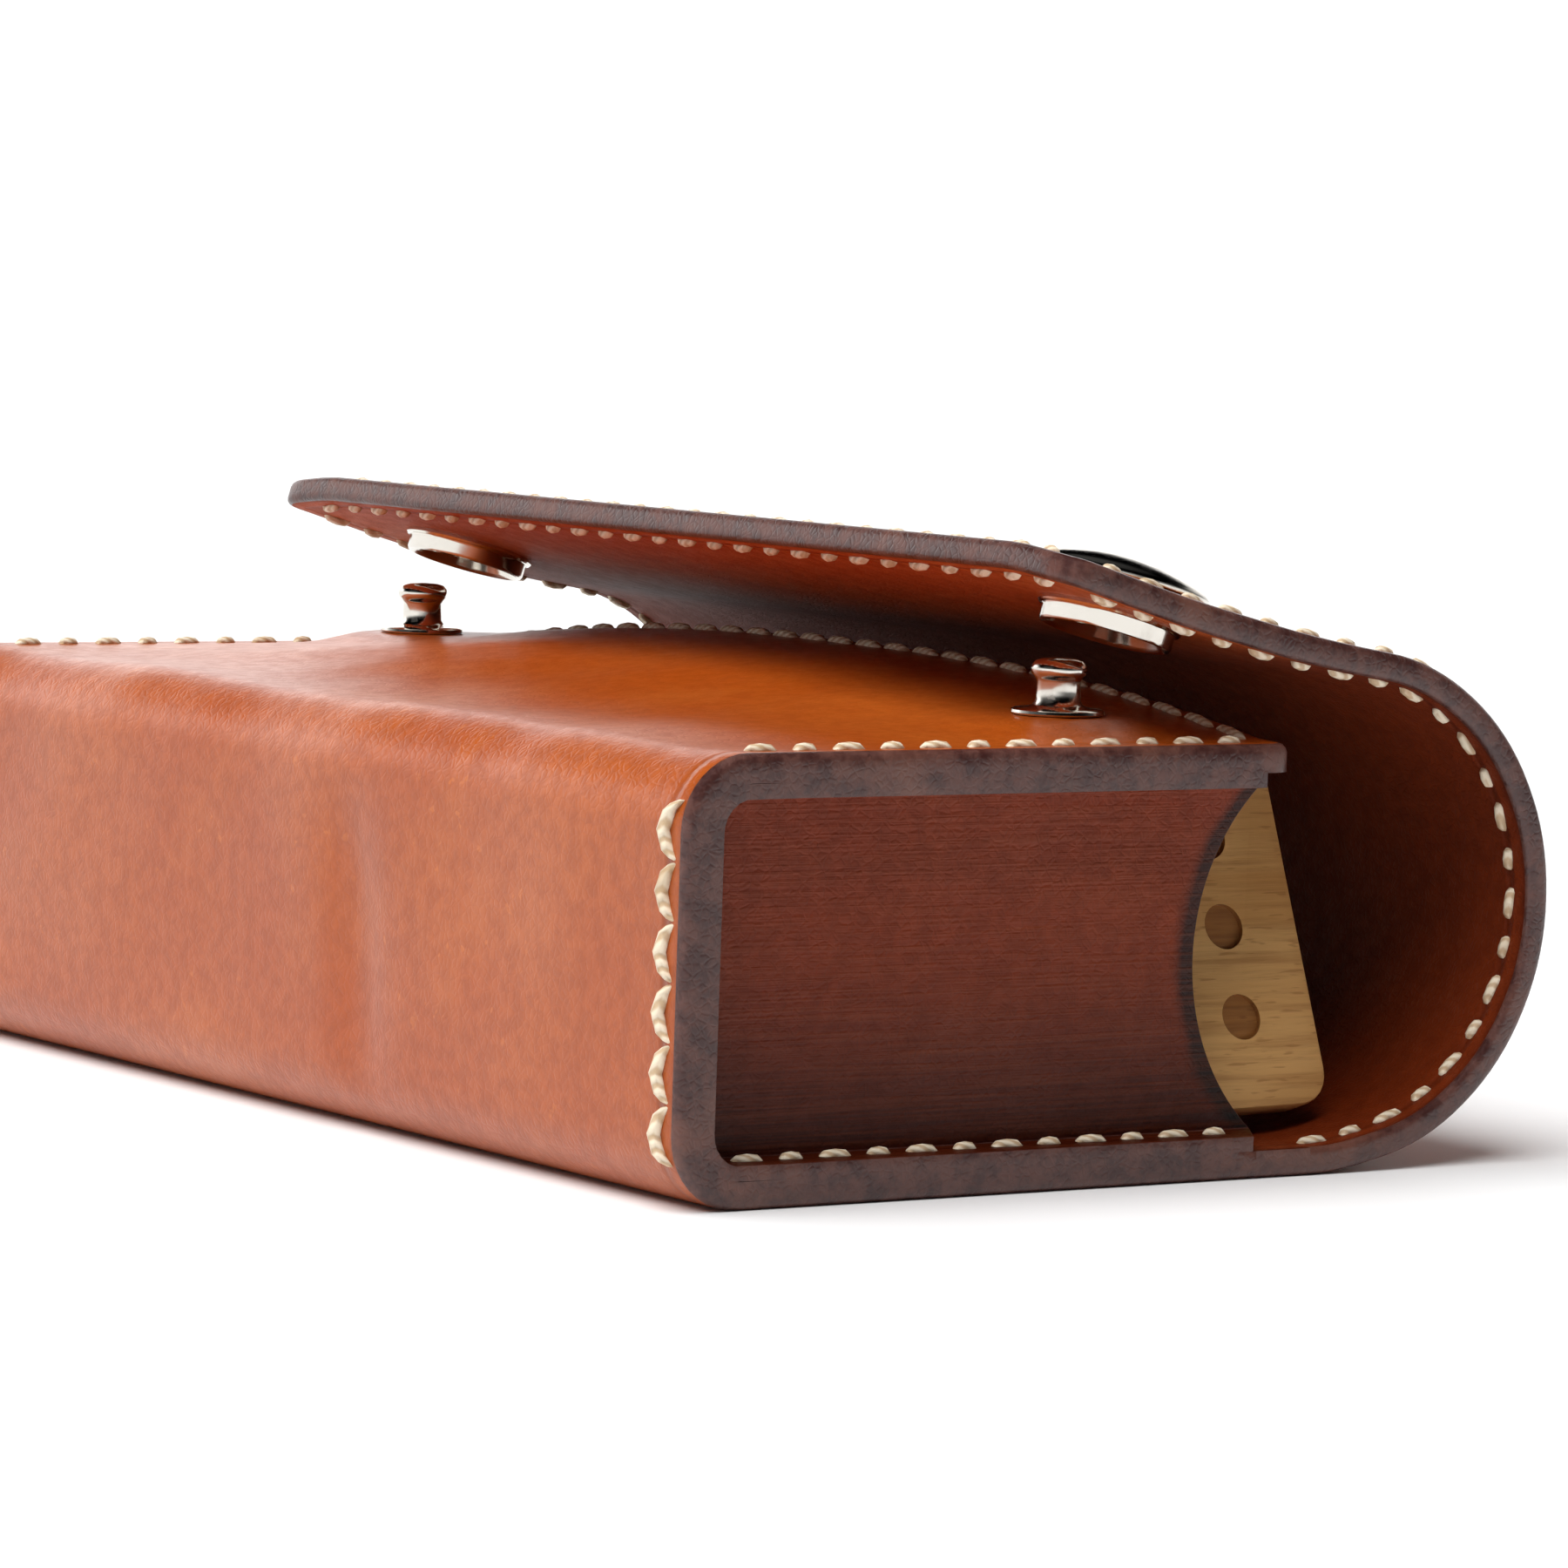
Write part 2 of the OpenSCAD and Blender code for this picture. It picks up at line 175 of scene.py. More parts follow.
def strip(name, rows, columns=COLUMNS):
    """rows: (x, z, half width) of each cross row, in order. Returns a sheet without thickness."""
    sheet = fresh(bpy.ops.mesh.primitive_grid_add, name, x_subdivisions=1, y_subdivisions=columns, size=2)
    pick(sheet, lambda p: p.x > 0)
    bpy.ops.mesh.delete(type="VERT")
    bpy.ops.mesh.select_all(action="SELECT")
    x, z, half = rows[0]
    bpy.ops.transform.resize(value=(1, half, 1), center_override=(0, 0, 0))
    bpy.ops.transform.translate(value=(x + 1, 0, z))
    for nx, nz, nhalf in rows[1:]:
        bpy.ops.mesh.extrude_region_move(TRANSFORM_OT_translate={"value": (nx - x, 0, nz - z)})
        if abs(nhalf - half) > 1e-7:
            bpy.ops.transform.resize(value=(1, nhalf / half, 1), center_override=(0, 0, 0))
        x, z, half = nx, nz, nhalf
    return done(sheet)


def line(a, b, steps):
    """Points from a to b, without the first."""
    shares = [i / steps for i in range(1, steps + 1)]
    return [(a[0] + (b[0] - a[0]) * t, a[1] + (b[1] - a[1]) * t) for t in shares]


def arc(centre, radius, start, end, steps):
    """Points round a centre from one angle to another in degrees, without the first."""
    turns = [radians(start + (end - start) * i / steps) for i in range(1, steps + 1)]
    return [(centre[0] + radius * cos(t), centre[1] + radius * sin(t)) for t in turns]


def rows_along(path):
    """Rows for strip(): every point of the path, at the full width."""
    return [(x, z, HALF_W) for x, z in path]


print("a path of two rows:", rows_along([(0, 0), (0.01, 0)]))

# %% [markdown]
# ## Rounded corners
# A free end of the strip has its two corners cut round. A bevel on the corner point needs room, and the
# narrow rows beside it would stop it, so they are dissolved into one face before the point is bevelled.

# %% Rounding the corners of a free end
BEVEL_ROOM = 1.35


def round_corners(sheet, corner, into):
    """corner: (x, z) of the free end. into: the way back along the strip."""
    reach = CORNER_R * BEVEL_ROOM

    def from_end(p):
        return hypot(p.x - corner[0], p.z - corner[1])

    def near(p):
        along = (p.x - corner[0]) * into[0] + (p.z - corner[1]) * into[1]
        return along < reach and abs(p.y) > HALF_W - reach and from_end(p) < 3 * reach

    for side in (-1, 1):
        pick(sheet, lambda f: f.center.y * side > 0 and all(
            near(sheet.data.vertices[i].co) for i in f.vertices), "FACE")
        bpy.ops.mesh.dissolve_faces(use_verts=True)
        done(sheet)
        pick(sheet, lambda p: p.y * side > HALF_W - TINY and from_end(p) < TINY)
        bpy.ops.mesh.bevel(affect="VERTICES", offset=CORNER_R, segments=7, profile=0.5)
        done(sheet)
    return sheet


print("corner radius:", round(CORNER_R / MM, 1), "mm")

# %% [markdown]
# ## Thickness and rounded edges
# The sheet gets its thickness from Solidify, inwards from the grain side. A leather worker glues the
# layers first, then rounds and polishes the cut edge of all of them as one, which gives a round nose.
# So the rim between two glued layers stays sharp, and the outer rims are bevelled. The cut edges have
# their own material slot, because polishing turns them a dark purple-brown.

# %% Solid leather
HIDE_NOSE, LINING_NOSE, WALL_NOSE, THUMB_NOSE = 0.65 * MM, 0.45 * MM, 0.55 * MM, 0.2 * MM


def face_outward(piece, outward):
    """Turns every face the same way, so that the first one looks outward."""
    take(piece)
    bpy.ops.object.mode_set(mode="EDIT")
    bpy.ops.mesh.select_all(action="SELECT")
    bpy.ops.mesh.normals_make_consistent(inside=False)
    done(piece)
    if piece.data.polygons[0].normal.dot(Vector(outward)) < 0:
        bpy.ops.object.mode_set(mode="EDIT")
        bpy.ops.mesh.flip_normals()
        done(piece)


def make_solid(piece, thickness, outward, edge_round, keep=None, glued=""):
    """keep(a, b): sharp edges that stay sharp.
    glued: "in" or "out" keeps the rim sharp on the side that is glued to another layer."""
    face_outward(piece, outward)
    solid = piece.modifiers.new("thickness", "SOLIDIFY")
    solid.thickness = thickness
    solid.offset = -1
    solid.use_even_offset = True
    solid.material_offset_rim = 1
    piece.data.materials.append(None)
    piece.data.materials.append(None)
    outer_points = len(piece.data.vertices)
    apply_all(piece)
    edit("EDGE")
    bpy.ops.mesh.select_all(action="DESELECT")
    bpy.ops.mesh.edges_select_sharp(sharpness=radians(55))
    done(piece)
    mesh = piece.data
    for e in mesh.edges:
        if e.select:
            inside = min(e.vertices) >= outer_points
            on_glue = bool(glued) and inside == (glued == "in")
            kept = bool(keep) and keep(*(mesh.vertices[i].co for i in e.vertices))
            e.select = not (on_glue or kept)
    edit("EDGE")
    bpy.ops.mesh.bevel(offset=edge_round, segments=3, profile=0.5, material=1, clamp_overlap=True)
    done(piece)
    bpy.ops.object.shade_smooth_by_angle(angle=radians(50))
    return piece


print("the wrap's nose:", round((HIDE_NOSE + LINING_NOSE) / MM, 2), "of", round(SKIN_T / MM, 2), "mm")

# %% [markdown]
# ## The wrap
# One strip makes the front panel, both soft bends, the closed end and the back panel. Its lining is a
# second, thinner strip glued inside it, on the same path a hide's thickness further in.

# %% Path of the wrap
SPLIT_X = 26.5 * MM


def wrap_path(inset):
    r = BEND_R - inset
    top, bottom = CASE_H - inset, inset
    return ([(MOUTH_X, top)] + line((MOUTH_X, top), (BEND_X, top), 20)
            + arc((BEND_X, CASE_H - BEND_R), r, 90, 180, 10)
            + line((END_X + inset, CASE_H - BEND_R), (END_X + inset, BEND_R), 9)
            + arc((BEND_X, BEND_R), r, 180, 270, 10)
            + line((BEND_X, bottom), (SPLIT_X, bottom), 20))


def at_split(a, b):
    """Edges where the wrap meets the flap, edge to edge."""
    return min(a.x, b.x) > SPLIT_X - TINY


def wrap_sheet(name, inset):
    return round_corners(strip(name, rows_along(wrap_path(inset))), (MOUTH_X, CASE_H - inset), (-1, 0))


def on_wall(p):
    """Edges that are glued to a side wall, and rounded together with it."""
    return abs(p.y) > HALF_W - 0.1 * MM and p.x < MOUTH_X - 2 * MM


UP = (0, 0, 1)
wrap = make_solid(wrap_sheet("wrap", 0), HIDE_T, UP, HIDE_NOSE, at_split, "in")
wrap_lining = make_solid(wrap_sheet("wrap_lining", HIDE_T), LINING_T, UP, LINING_NOSE,
                         lambda a, b: at_split(a, b) or on_wall(a) and on_wall(b), "out")
print("wrap:", len(wrap.data.polygons), "faces; lining:", len(wrap_lining.data.polygons))

# %% [markdown]
# ## The arched mouth edge
# The front panel isn't flat: years of tiles have pushed its mouth edge up in the middle. A vertex group
# holds how far each point is lifted, and Displace lifts them straight up. The lining gets the same lift.

# %% Lifting the mouth edge
def smooth(t):
    """Goes from 0 to 1 without a corner, and stays there."""
    t = min(1, max(0, t))
    return t * t * (3 - 2 * t)


def arch(y):
    """The arch across the case: 1 in the middle, and 0 from the side walls outwards."""
    return 0 if abs(y) >= WALL_Y else 1 - (abs(y) / WALL_Y) ** 2.5


def swell(x, y):
    """Height of the arch over the flat panel."""
    return CROWN * smooth((x - BEND_X) / (MOUTH_X - BEND_X)) * arch(y)


print("arch over the middle of the mouth:", round(swell(MOUTH_X, 0) / MM, 2), "mm")

# %% [markdown]
# ## A level seat for each stud
# A stud is riveted through the leather, and its round flange pulls the arched panel level under it. So
# the leather rises to the height of the flange near each stud, and goes back to the arch further out.

# %% Seats under the studs
SNAP_Y, SNAP_REACH, STUD_X = HALF_W - 10.5 * MM, 10.5 * MM, 11.8 * MM
FLANGE_R, SEAT_REACH, SEAT_FADE = 3.2 * MM, 9 * MM, 5.2 * MM
SEAT = swell(STUD_X + FLANGE_R, SNAP_Y - FLANGE_R)


def off_stud(x, y):
    """Distance from the axis of the nearer stud."""
    return hypot(x - STUD_X, abs(y) - SNAP_Y)


def rise(x, y):
    """The arch, with the leather drawn level with the seat around each stud."""
    return swell(x, y) + (SEAT - swell(x, y)) * smooth((SEAT_REACH - off_stud(x, y)) / SEAT_FADE)


def lift_mouth(piece):
    """Lifts the points of the front panel."""
    group = piece.vertex_groups.new(name="lift")
    for v in piece.data.vertices:
        if v.co.z > CASE_H - 3 * MM and v.co.x > BEND_X:
            group.add([v.index], rise(v.co.x, v.co.y) / CROWN, "REPLACE")
    lift = piece.modifiers.new("lift", "DISPLACE")
    lift.direction, lift.strength, lift.mid_level, lift.vertex_group = "Z", CROWN, 0, "lift"
    return apply_all(piece)


for piece, node, slot in ((wrap, "case_outer", "leather"), (wrap_lining, "case_lining", "lining")):
    lift_mouth(piece)
    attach(piece, "case")
    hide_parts(node)
print("mouth edge is lifted", round((max(v.co.z for v in wrap.data.vertices) - CASE_H) / MM, 2), "mm")

# %% [markdown]
# ## Soft, used leather
# Hide never lies perfectly flat. Displace with a slow cloud texture makes the grain side swell and sink
# by a few tenths of a millimetre. A vertex group keeps it to that side and fades it out near the edges,
# where the layers are glued. The closed end also has a shallow upright fold, pressed in by use: a second
# group holds its bell-shaped valley, and Displace pushes it in.

# %% Swelling the grain side
clouds = bpy.data.textures.new("slow_waves", "CLOUDS")
clouds.noise_scale, clouds.noise_depth = 17 * MM, 1
WAVE_DEPTH, GLUED_EDGE, GLUE_FADE = 0.8 * MM, 1.5 * MM, 7 * MM


def soften(piece, on_grain_side):
    """on_grain_side(point): how far the point may move, from 0 to 1."""
    group = piece.vertex_groups.new(name="soft")
    for v in piece.data.vertices:
        off_edge = smooth((HALF_W - abs(v.co.y) - GLUED_EDGE) / GLUE_FADE)
        group.add([v.index], on_grain_side(v) * off_edge, "REPLACE")
    waves = piece.modifiers.new("waves", "DISPLACE")
    waves.texture, waves.texture_coords, waves.strength, waves.mid_level = clouds, "LOCAL", WAVE_DEPTH, 0.5
    waves.vertex_group = "soft"
    return apply_all(piece)


FOLD_Y, FOLD_DEPTH, FOLD_HALF, FOLD_TOP, FOLD_FADE = -11 * MM, 0.8 * MM, 2.6 * MM, 26 * MM, 9 * MM


def fold(piece):
    """Pushes a slightly slanted valley into the closed end, which fades out at its top and bottom."""
    group = piece.vertex_groups.new(name="fold")
    for v in piece.data.vertices:
        if v.co.x < END_X + 0.5 * MM:
            valley_y = FOLD_Y + 0.12 * (v.co.z - CASE_H / 2)
            across = (v.co.y - valley_y) / FOLD_HALF
            upright = smooth(v.co.z / FOLD_FADE) * smooth((FOLD_TOP - v.co.z) / FOLD_FADE)
            group.add([v.index], 2.72 ** (-across * across) * upright, "REPLACE")
    push = piece.modifiers.new("fold", "DISPLACE")
    push.direction, push.strength, push.mid_level, push.vertex_group = "X", FOLD_DEPTH, 0, "fold"
    return apply_all(piece)


def wrap_grain_side(v):
    """The front panel, its bend and the closed end, but not the underside, which lies on the table."""
    p = v.co
    above = p.z > CASE_H - 0.3 * MM + rise(p.x, p.y) and p.x > BEND_X
    from_bend = hypot(min(0, p.x - BEND_X), max(0, p.z - (CASE_H - BEND_R)))
    round_the_end = p.x <= BEND_X and from_bend > BEND_R - 0.3 * MM
    clear_of_stud = smooth((off_stud(p.x, p.y) - 4 * MM) / (4 * MM))
    return (float(above or round_the_end) * smooth((p.z - BEND_R) / (4 * MM))
            * smooth((MOUTH_X - p.x - MM) / (6 * MM)) * clear_of_stud)


soften(wrap, wrap_grain_side)
fold(wrap)
print("closed end now reaches", round(min(v.co.x for v in wrap.data.vertices) / MM, 2), "mm")

# %% [markdown]
# ## Path of the flap
# The flap goes on from the back panel and curls round the mouth. Its middle line is a chain of short
# lengths, each turned a little further than the one before, and the last one is the flat end. The
# headings are in degrees: 0 runs out along the table, and 90 straight up.

# %% Bends of the flap
FOOT_LEN, CURL_LEN, CURL_END_LEN, FLAP_LEN = 4.3 * MM, 7.8 * MM, 9.5 * MM, 22.3 * MM
FIRST_TURN, TURN, FLAP_HEADING = 12, 26.5, 163.5
HEADINGS = [0] + [FIRST_TURN + TURN * k for k in range(7)] + [FLAP_HEADING]
LENGTHS = [FOOT_LEN] + [CURL_LEN] * 6 + [CURL_END_LEN, FLAP_LEN]
bends = [(MOUTH_X, SKIN_T / 2)]
for heading, length in zip(HEADINGS, LENGTHS):
    x, z = bends[-1]
    bends.append((x + length * cos(radians(heading)), z + length * sin(radians(heading))))
print("bends at", [(round(x / MM, 2), round(z / MM, 2)) for x, z in bends[1:]], "mm")

# %% [markdown]
# ## One even curve
# Leather doesn't break at a corner. Every bend of the chain is rounded with a curve that leaves one
# length and joins the next smoothly, and each point keeps the way that the line is heading there.

# %% Rounding the bends
def on_length(k, along):
    """The middle line, some way along length k: (x, z, heading)."""
    h = radians(HEADINGS[k])
    return (bends[k][0] + along * cos(h), bends[k][1] + along * sin(h), HEADINGS[k])


def bend_points(k, before, after, steps):
    """Rounds bend k with a curve that leaves length k-1 and joins length k."""
    a, b = on_length(k - 1, LENGTHS[k - 1] - before), on_length(k, after)
    turn = HEADINGS[k] - HEADINGS[k - 1]
    points = []
    for i in range(steps + 1):
        t = i / steps
        points.append(((1 - t) ** 2 * a[0] + 2 * t * (1 - t) * bends[k][0] + t ** 2 * b[0],
                       (1 - t) ** 2 * a[1] + 2 * t * (1 - t) * bends[k][1] + t ** 2 * b[1],
                       HEADINGS[k - 1] + turn * smooth_turn(t, radians(turn), before, after)))
    return points


def smooth_turn(t, turn, before, after):
    """Share of the turn that the curve has made at t, from its tangent."""
    ux, uz = (1 - t) * before + t * after * cos(turn), t * after * sin(turn)
    return atan2(uz, ux) / turn


def middle_line(knees, first, last=None):
    """Joins rounded bends (number, before, after, steps) into one line of (x, z, heading)."""
    points = [first]
    for knee in knees:
        points += bend_points(*knee)
    return points + ([last] if last else [])


FLAT = 0.15 * MM
FOOT_KNEE, CURL_KNEE, END_KNEE = bends[1][0] - SPLIT_X - FLAT, CURL_LEN / 2 - FLAT, 4 * MM
END_ROWS = 9
base_line = middle_line([(1, FOOT_KNEE, FOOT_KNEE, 6), (2, CURL_KNEE, CURL_KNEE, 8)],
                        (SPLIT_X, SKIN_T / 2, 0), on_length(2, CURL_LEN / 2))
curl_line = middle_line([(k, CURL_KNEE, CURL_KNEE, 8) for k in range(3, 8)],
                        base_line[-1], on_length(7, CURL_END_LEN / 2))
end_line = middle_line([(8, END_KNEE, END_KNEE, 6)], curl_line[-1])
end_line += [on_length(8, END_KNEE + (FLAP_LEN - END_KNEE) * i / END_ROWS) for i in range(1, END_ROWS + 1)]
print("lines of the flap:", len(base_line), len(curl_line), len(end_line), "points")

# %% Three pieces of flap
def offset_path(middle, out):
    """The line moved outwards, away from the inside of the curl."""
    return [(x + out * sin(radians(h)), z - out * cos(radians(h))) for x, z, h in middle]


def flap_strip(name, middle, out, thickness, edge_round, glued, free_end=False):
    """A layer of the flap. Its cuts, where it meets the next piece, stay sharp."""
    cuts = [middle[0]] + ([] if free_end else [middle[-1]])

    def on_cut(p):
        return any(abs((p.x - x) * cos(radians(h)) + (p.z - z) * sin(radians(h))) < 2 * TINY
                   and hypot(p.x - x, p.z - z) < 3 * MM for x, z, h in cuts)

    def between_cuts(a, b):
        return on_cut(a) and on_cut(b)

    h = radians(middle[0][2])
    path = offset_path(middle, out)
    sheet = strip(name, rows_along(path))
    if free_end:
        back = radians(middle[-1][2])
        round_corners(sheet, path[-1], (-cos(back), -sin(back)))
    return make_solid(sheet, thickness, (sin(h), 0, -cos(h)), edge_round, between_cuts, glued)


DROOP, DROOP_X, DROOP_Y = 0.6 * MM, 29 * MM, 44 * MM


def droop(piece):
    """The side margins of the flat end hang a little, as soft hide does past its last support."""
    down = Vector((-sin(radians(FLAP_HEADING)), 0, cos(radians(FLAP_HEADING))))
    for v in piece.data.vertices:
        if v.co.z > CASE_H:
            share = smooth((DROOP_X - v.co.x) / (16 * MM)) * smooth((abs(v.co.y) - DROOP_Y) / (8 * MM))
            v.co += down * (DROOP * share)
    return piece


FLAP_LINES = {"base": base_line, "curl": curl_line, "end": end_line}
STANDS_FOR = {"base": [1], "curl": [2, 3, 4, 5, 6, 7], "end": ["end"]}
flap_parts = {}
for part, middle in FLAP_LINES.items():
    name, free = "flap_" + part, part == "end"
    flap_parts[part] = (
        flap_strip(name, middle, SKIN_T / 2, HIDE_T, HIDE_NOSE, "in", free),
        flap_strip(name + "_inside", middle, SKIN_T / 2 - HIDE_T, LINING_T, LINING_NOSE, "out", free))
    print(part, [len(p.data.polygons) for p in flap_parts[part]], "faces")
for piece in flap_parts["end"]:
    droop(piece)
for part, numbers in STANDS_FOR.items():
    for piece, layer, slot in zip(flap_parts[part], ("flap_outer_", "flap_lining_"), ("leather", "lining")):
        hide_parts(*[layer + str(n) for n in numbers])

# %% [markdown]
# ## Side walls
# Each side wall is a tray of thin hide: a flat face with its edge turned outwards along three sides, so
# that it can be sewn to the panels. The open side has a shallow round cut for the thumb. The face starts
# as a strip that is turned upright, and its first row is moved onto the thumb cut.

# %% The face of a wall
THUMB_R, THUMB_DEPTH = 15.5 * MM, 5.8 * MM
THUMB_X, MID_Z = MOUTH_X - THUMB_DEPTH + THUMB_R, CASE_H / 2
WALL_H = CASE_H - 2 * SKIN_T
SIDES = {"near": -1, "far": 1}


def thumb_cut(z):
    """Where the open side of the wall ends at this height."""
    return min(MOUTH_X, THUMB_X - sqrt(max(0, THUMB_R ** 2 - (z - MID_Z) ** 2)))


def wall_face(name, y, step_in):
    """An upright sheet at this y, with two round corners at the closed end."""
    back, round_r, half = END_X + SKIN_T + step_in, BEND_R - SKIN_T - step_in, WALL_H / 2 - step_in
    rows = [(MOUTH_X, 0, half)] + [(x * MM, 0, half) for x in range(17, -19, -3)]
    rows += [(back + round_r * (1 - sin(a)), 0, half - round_r * (1 - cos(a)))
             for a in (0.2, 0.5, 0.8, 1.1, 1.35, pi / 2)]
    sheet = strip(name, rows, columns=36)
    pick(sheet, lambda p: True)
    bpy.ops.transform.rotate(value=pi / 2, orient_axis="X", center_override=(0, 0, 0))
    bpy.ops.transform.translate(value=(0, y, MID_Z))
    done(sheet)
    for v in sheet.data.vertices:
        if v.co.x > MOUTH_X - TINY:
            v.co.x = thumb_cut(v.co.z)
    return sheet


print("deepest point of the thumb cut at x =", round(thumb_cut(MID_Z) / MM, 1), "mm")

# %% [markdown]
# ## The turned edge
# The leather worker wets the edge and folds it outwards over a board. Here the three border edges that
# aren't on the thumb cut are selected and extruded outwards. The ends at the mouth are drawn back, so
# that they stay under the panels' rounded corners.

# %% Turning three edges outwards
FACE_END, TURN_BACK = 17.5 * MM, 2.4 * MM


def turn_edges(sheet, side):
    """An edge is a border edge when only one face has it."""
    count = {}
    for f in sheet.data.polygons:
        for key in f.edge_keys:
            count[key] = count.get(key, 0) + 1
    clear(sheet)
    for e in sheet.data.edges:
        a, b = (sheet.data.vertices[i].co for i in e.vertices)
        on_thumb_cut = max(a.x, b.x) > FACE_END and abs(a.z - b.z) > 1e-6
        e.select = count[tuple(sorted(e.vertices))] == 1 and not on_thumb_cut
    edit("EDGE")
    bpy.ops.mesh.extrude_region_move(TRANSFORM_OT_translate={"value": (0, side * MARGIN, 0)})
    done(sheet)
    pick(sheet, lambda p: abs(p.y) > WALL_Y + MM and p.x > 22 * MM)
    bpy.ops.transform.translate(value=(-TURN_BACK, 0, 0))
    return done(sheet)


for label, side in SIDES.items():
    out = (0, side, 0)
    wall = turn_edges(wall_face(label + "_side_wall", side * WALL_Y, WALL_T), side)
    make_solid(wall, WALL_T, out, WALL_NOSE, glued="in")
    inside = wall_face(label + "_side_lining", side * (WALL_Y - WALL_T), 0)
    make_solid(inside, WALL_LINING_T, out, THUMB_NOSE)
    for piece, node, slot in ((wall, "_wall", "leather"), (inside, "_wall_lining", "lining")):
        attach(piece, "case")
        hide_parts(label + node)
    print(wall.name, [round(v / MM, 1) for v in wall.dimensions])

# %% [markdown]
# ## One stitch, many times
# A saddle stitch shows as a short fat bar of waxed thread whose ends dive into the leather. It is made
# once: a ring of eight points, extruded along the thread and scaled, and lower at both ends. Four kinds
# are enough: two lengths for most seams, a longer one for the mouth and a fat loop for the end seams.

# %% The stitch
THREAD_R, LOOP_THREAD_R, LOOP_BOW = 0.36 * MM, 0.5 * MM, 1.2 * MM
HALF_STITCH = 1.55


def model_stitch(name, reach, bow=0, thread_r=THREAD_R):
    """reach: length against the plain stitch. bow: how far its middle swings out to the side."""
    stitch = fresh(bpy.ops.mesh.primitive_circle_add, name,
                   vertices=8, radius=thread_r * 0.5, fill_type="NGON")
    pick(stitch, lambda p: True)
    bpy.ops.transform.rotate(value=pi / 2, orient_axis="Y", center_override=(0, 0, 0))
    half = [(HALF_STITCH, 0.5, -0.5), (1.35, 0.85, -0.22), (1.0, 1, -0.03)]
    rings = [(-x, r, z) for x, r, z in half] + [(0, 1.08, 0.03)] + half[::-1]
    rings = [(x * reach * MM, bow * (1 - (x / HALF_STITCH) ** 2), r, z * MM) for x, r, z in rings]
    x, y, r, z = rings[0]
    bpy.ops.transform.translate(value=(x, y, z))
    for nx, ny, nr, nz in rings[1:]:
        bpy.ops.mesh.extrude_region_move(TRANSFORM_OT_translate={"value": (nx - x, ny - y, nz - z)})
        bpy.ops.transform.resize(value=(1, nr / r, nr / r), center_override=(nx, ny, nz))
        x, y, r, z = nx, ny, nr, nz
    bpy.ops.mesh.select_all(action="SELECT")
    bpy.ops.mesh.normals_make_consistent(inside=False)
    done(stitch)
    bpy.ops.object.shade_smooth_by_angle(angle=radians(60))
    return stitch


stitches = [model_stitch("stitch", 0.78), model_stitch("short_stitch", 0.56)]
loops = [model_stitch("loop", 1.28, -LOOP_BOW, LOOP_THREAD_R)]
long_stitches = [model_stitch("long_stitch", 1.2)]
print("one stitch has", len(stitches[0].data.polygons), "faces")

# %% [markdown]
# ## Copies in a row
# Repeated parts are copies, each with its own mesh, placed by a matrix and joined into one piece. A
# stitch's matrix is built from the way that the seam runs and the way that the leather faces.

# %% Copying and joining
def join_copies(name, pattern_places):
    """pattern_places: (pattern, matrix) of every copy."""
    copies = []
    for pattern, matrix in pattern_places:
        copy = pattern.copy()
        copy.data = pattern.data.copy()
        bpy.context.scene.collection.objects.link(copy)
        copy.data.transform(matrix)
        copies.append(copy)
    bpy.ops.object.select_all(action="DESELECT")
    for copy in copies:
        copy.select_set(True)
    bpy.context.view_layer.objects.active = copies[0]
    bpy.ops.object.join()
    joined = bpy.context.object
    joined.name = joined.data.name = name
    return joined


def stitch_matrix(point, along, up):
    x = Vector(along).normalized()
    y = Vector(up).cross(x).normalized()
    return Matrix.Translation(point) @ Matrix((x, y, x.cross(y))).transposed().to_4x4()


def seam(name, patterns, places):
    """Sews the patterns in turn at every place (point, along, up)."""
    return join_copies(name, [(patterns[i % len(patterns)], stitch_matrix(*place))
                              for i, place in enumerate(places)])


def spread(start, end, pitch):
    """Evenly spaced places between two ends, about a pitch apart."""
    n = max(1, round((end - start) / pitch))
    return [start + (end - start) * (i + 0.5) / n for i in range(n)]


print("eleven stitches in 36 mm:", [round(s, 1) for s in spread(0, 36, 3.3)])

# %% [markdown]
# ## Seams of the case
# The panels are sewn to the turned edges of the side walls two millimetres in from the cut edge, and the
# same thread goes on along the mouth edge, where it holds the lining. Round the closed end the thread is
# whipped over the edge, so it shows as loops. Under the case the stitches lie in a groove, clear of the
# table.

# %% Case seams
LIFT = 0.06 * MM
SEAM_Y, LOOP_Y = HALF_W - STITCH_IN, HALF_W - STITCH_IN + 0.8 * MM
PITCH_ALONG, PITCH_ACROSS, LOOP_PITCH = 3.3 * MM, 3.6 * MM, 4 * MM
SLANT = 0.12
X_SPOTS = spread(BEND_X, MOUTH_X - CORNER_R, PITCH_ALONG)
Y_SPOTS = spread(-SEAM_Y + 1.5 * MM, SEAM_Y - 1.5 * MM, PITCH_ACROSS)
Z_SPOTS = spread(BEND_R - 2 * MM, CASE_H - BEND_R + 2 * MM, LOOP_PITCH)
SEAM_X = MOUTH_X - STITCH_IN
DOWN = (0, 0, -1)
UNDERSIDE_Z = 0.32 * MM


def side_places(z, up):
    """Stitches along both side edges, at this height."""
    return [((x, side * SEAM_Y, z), (1, SLANT * side, 0), up) for side in (-1, 1) for x in X_SPOTS]


def mouth_place(y):
    slope = (rise(SEAM_X, y + MM) - rise(SEAM_X, y - MM)) / (2 * MM)
    return (SEAM_X, y, CASE_H + rise(SEAM_X, y) + LIFT), (SLANT, 1, slope), UP


def sew(name, patterns, places, *nodes):
    piece = seam(name, patterns, places)
    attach(piece, "case")
    if nodes:
        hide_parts(*nodes)
    print(name, len(places), "stitches")


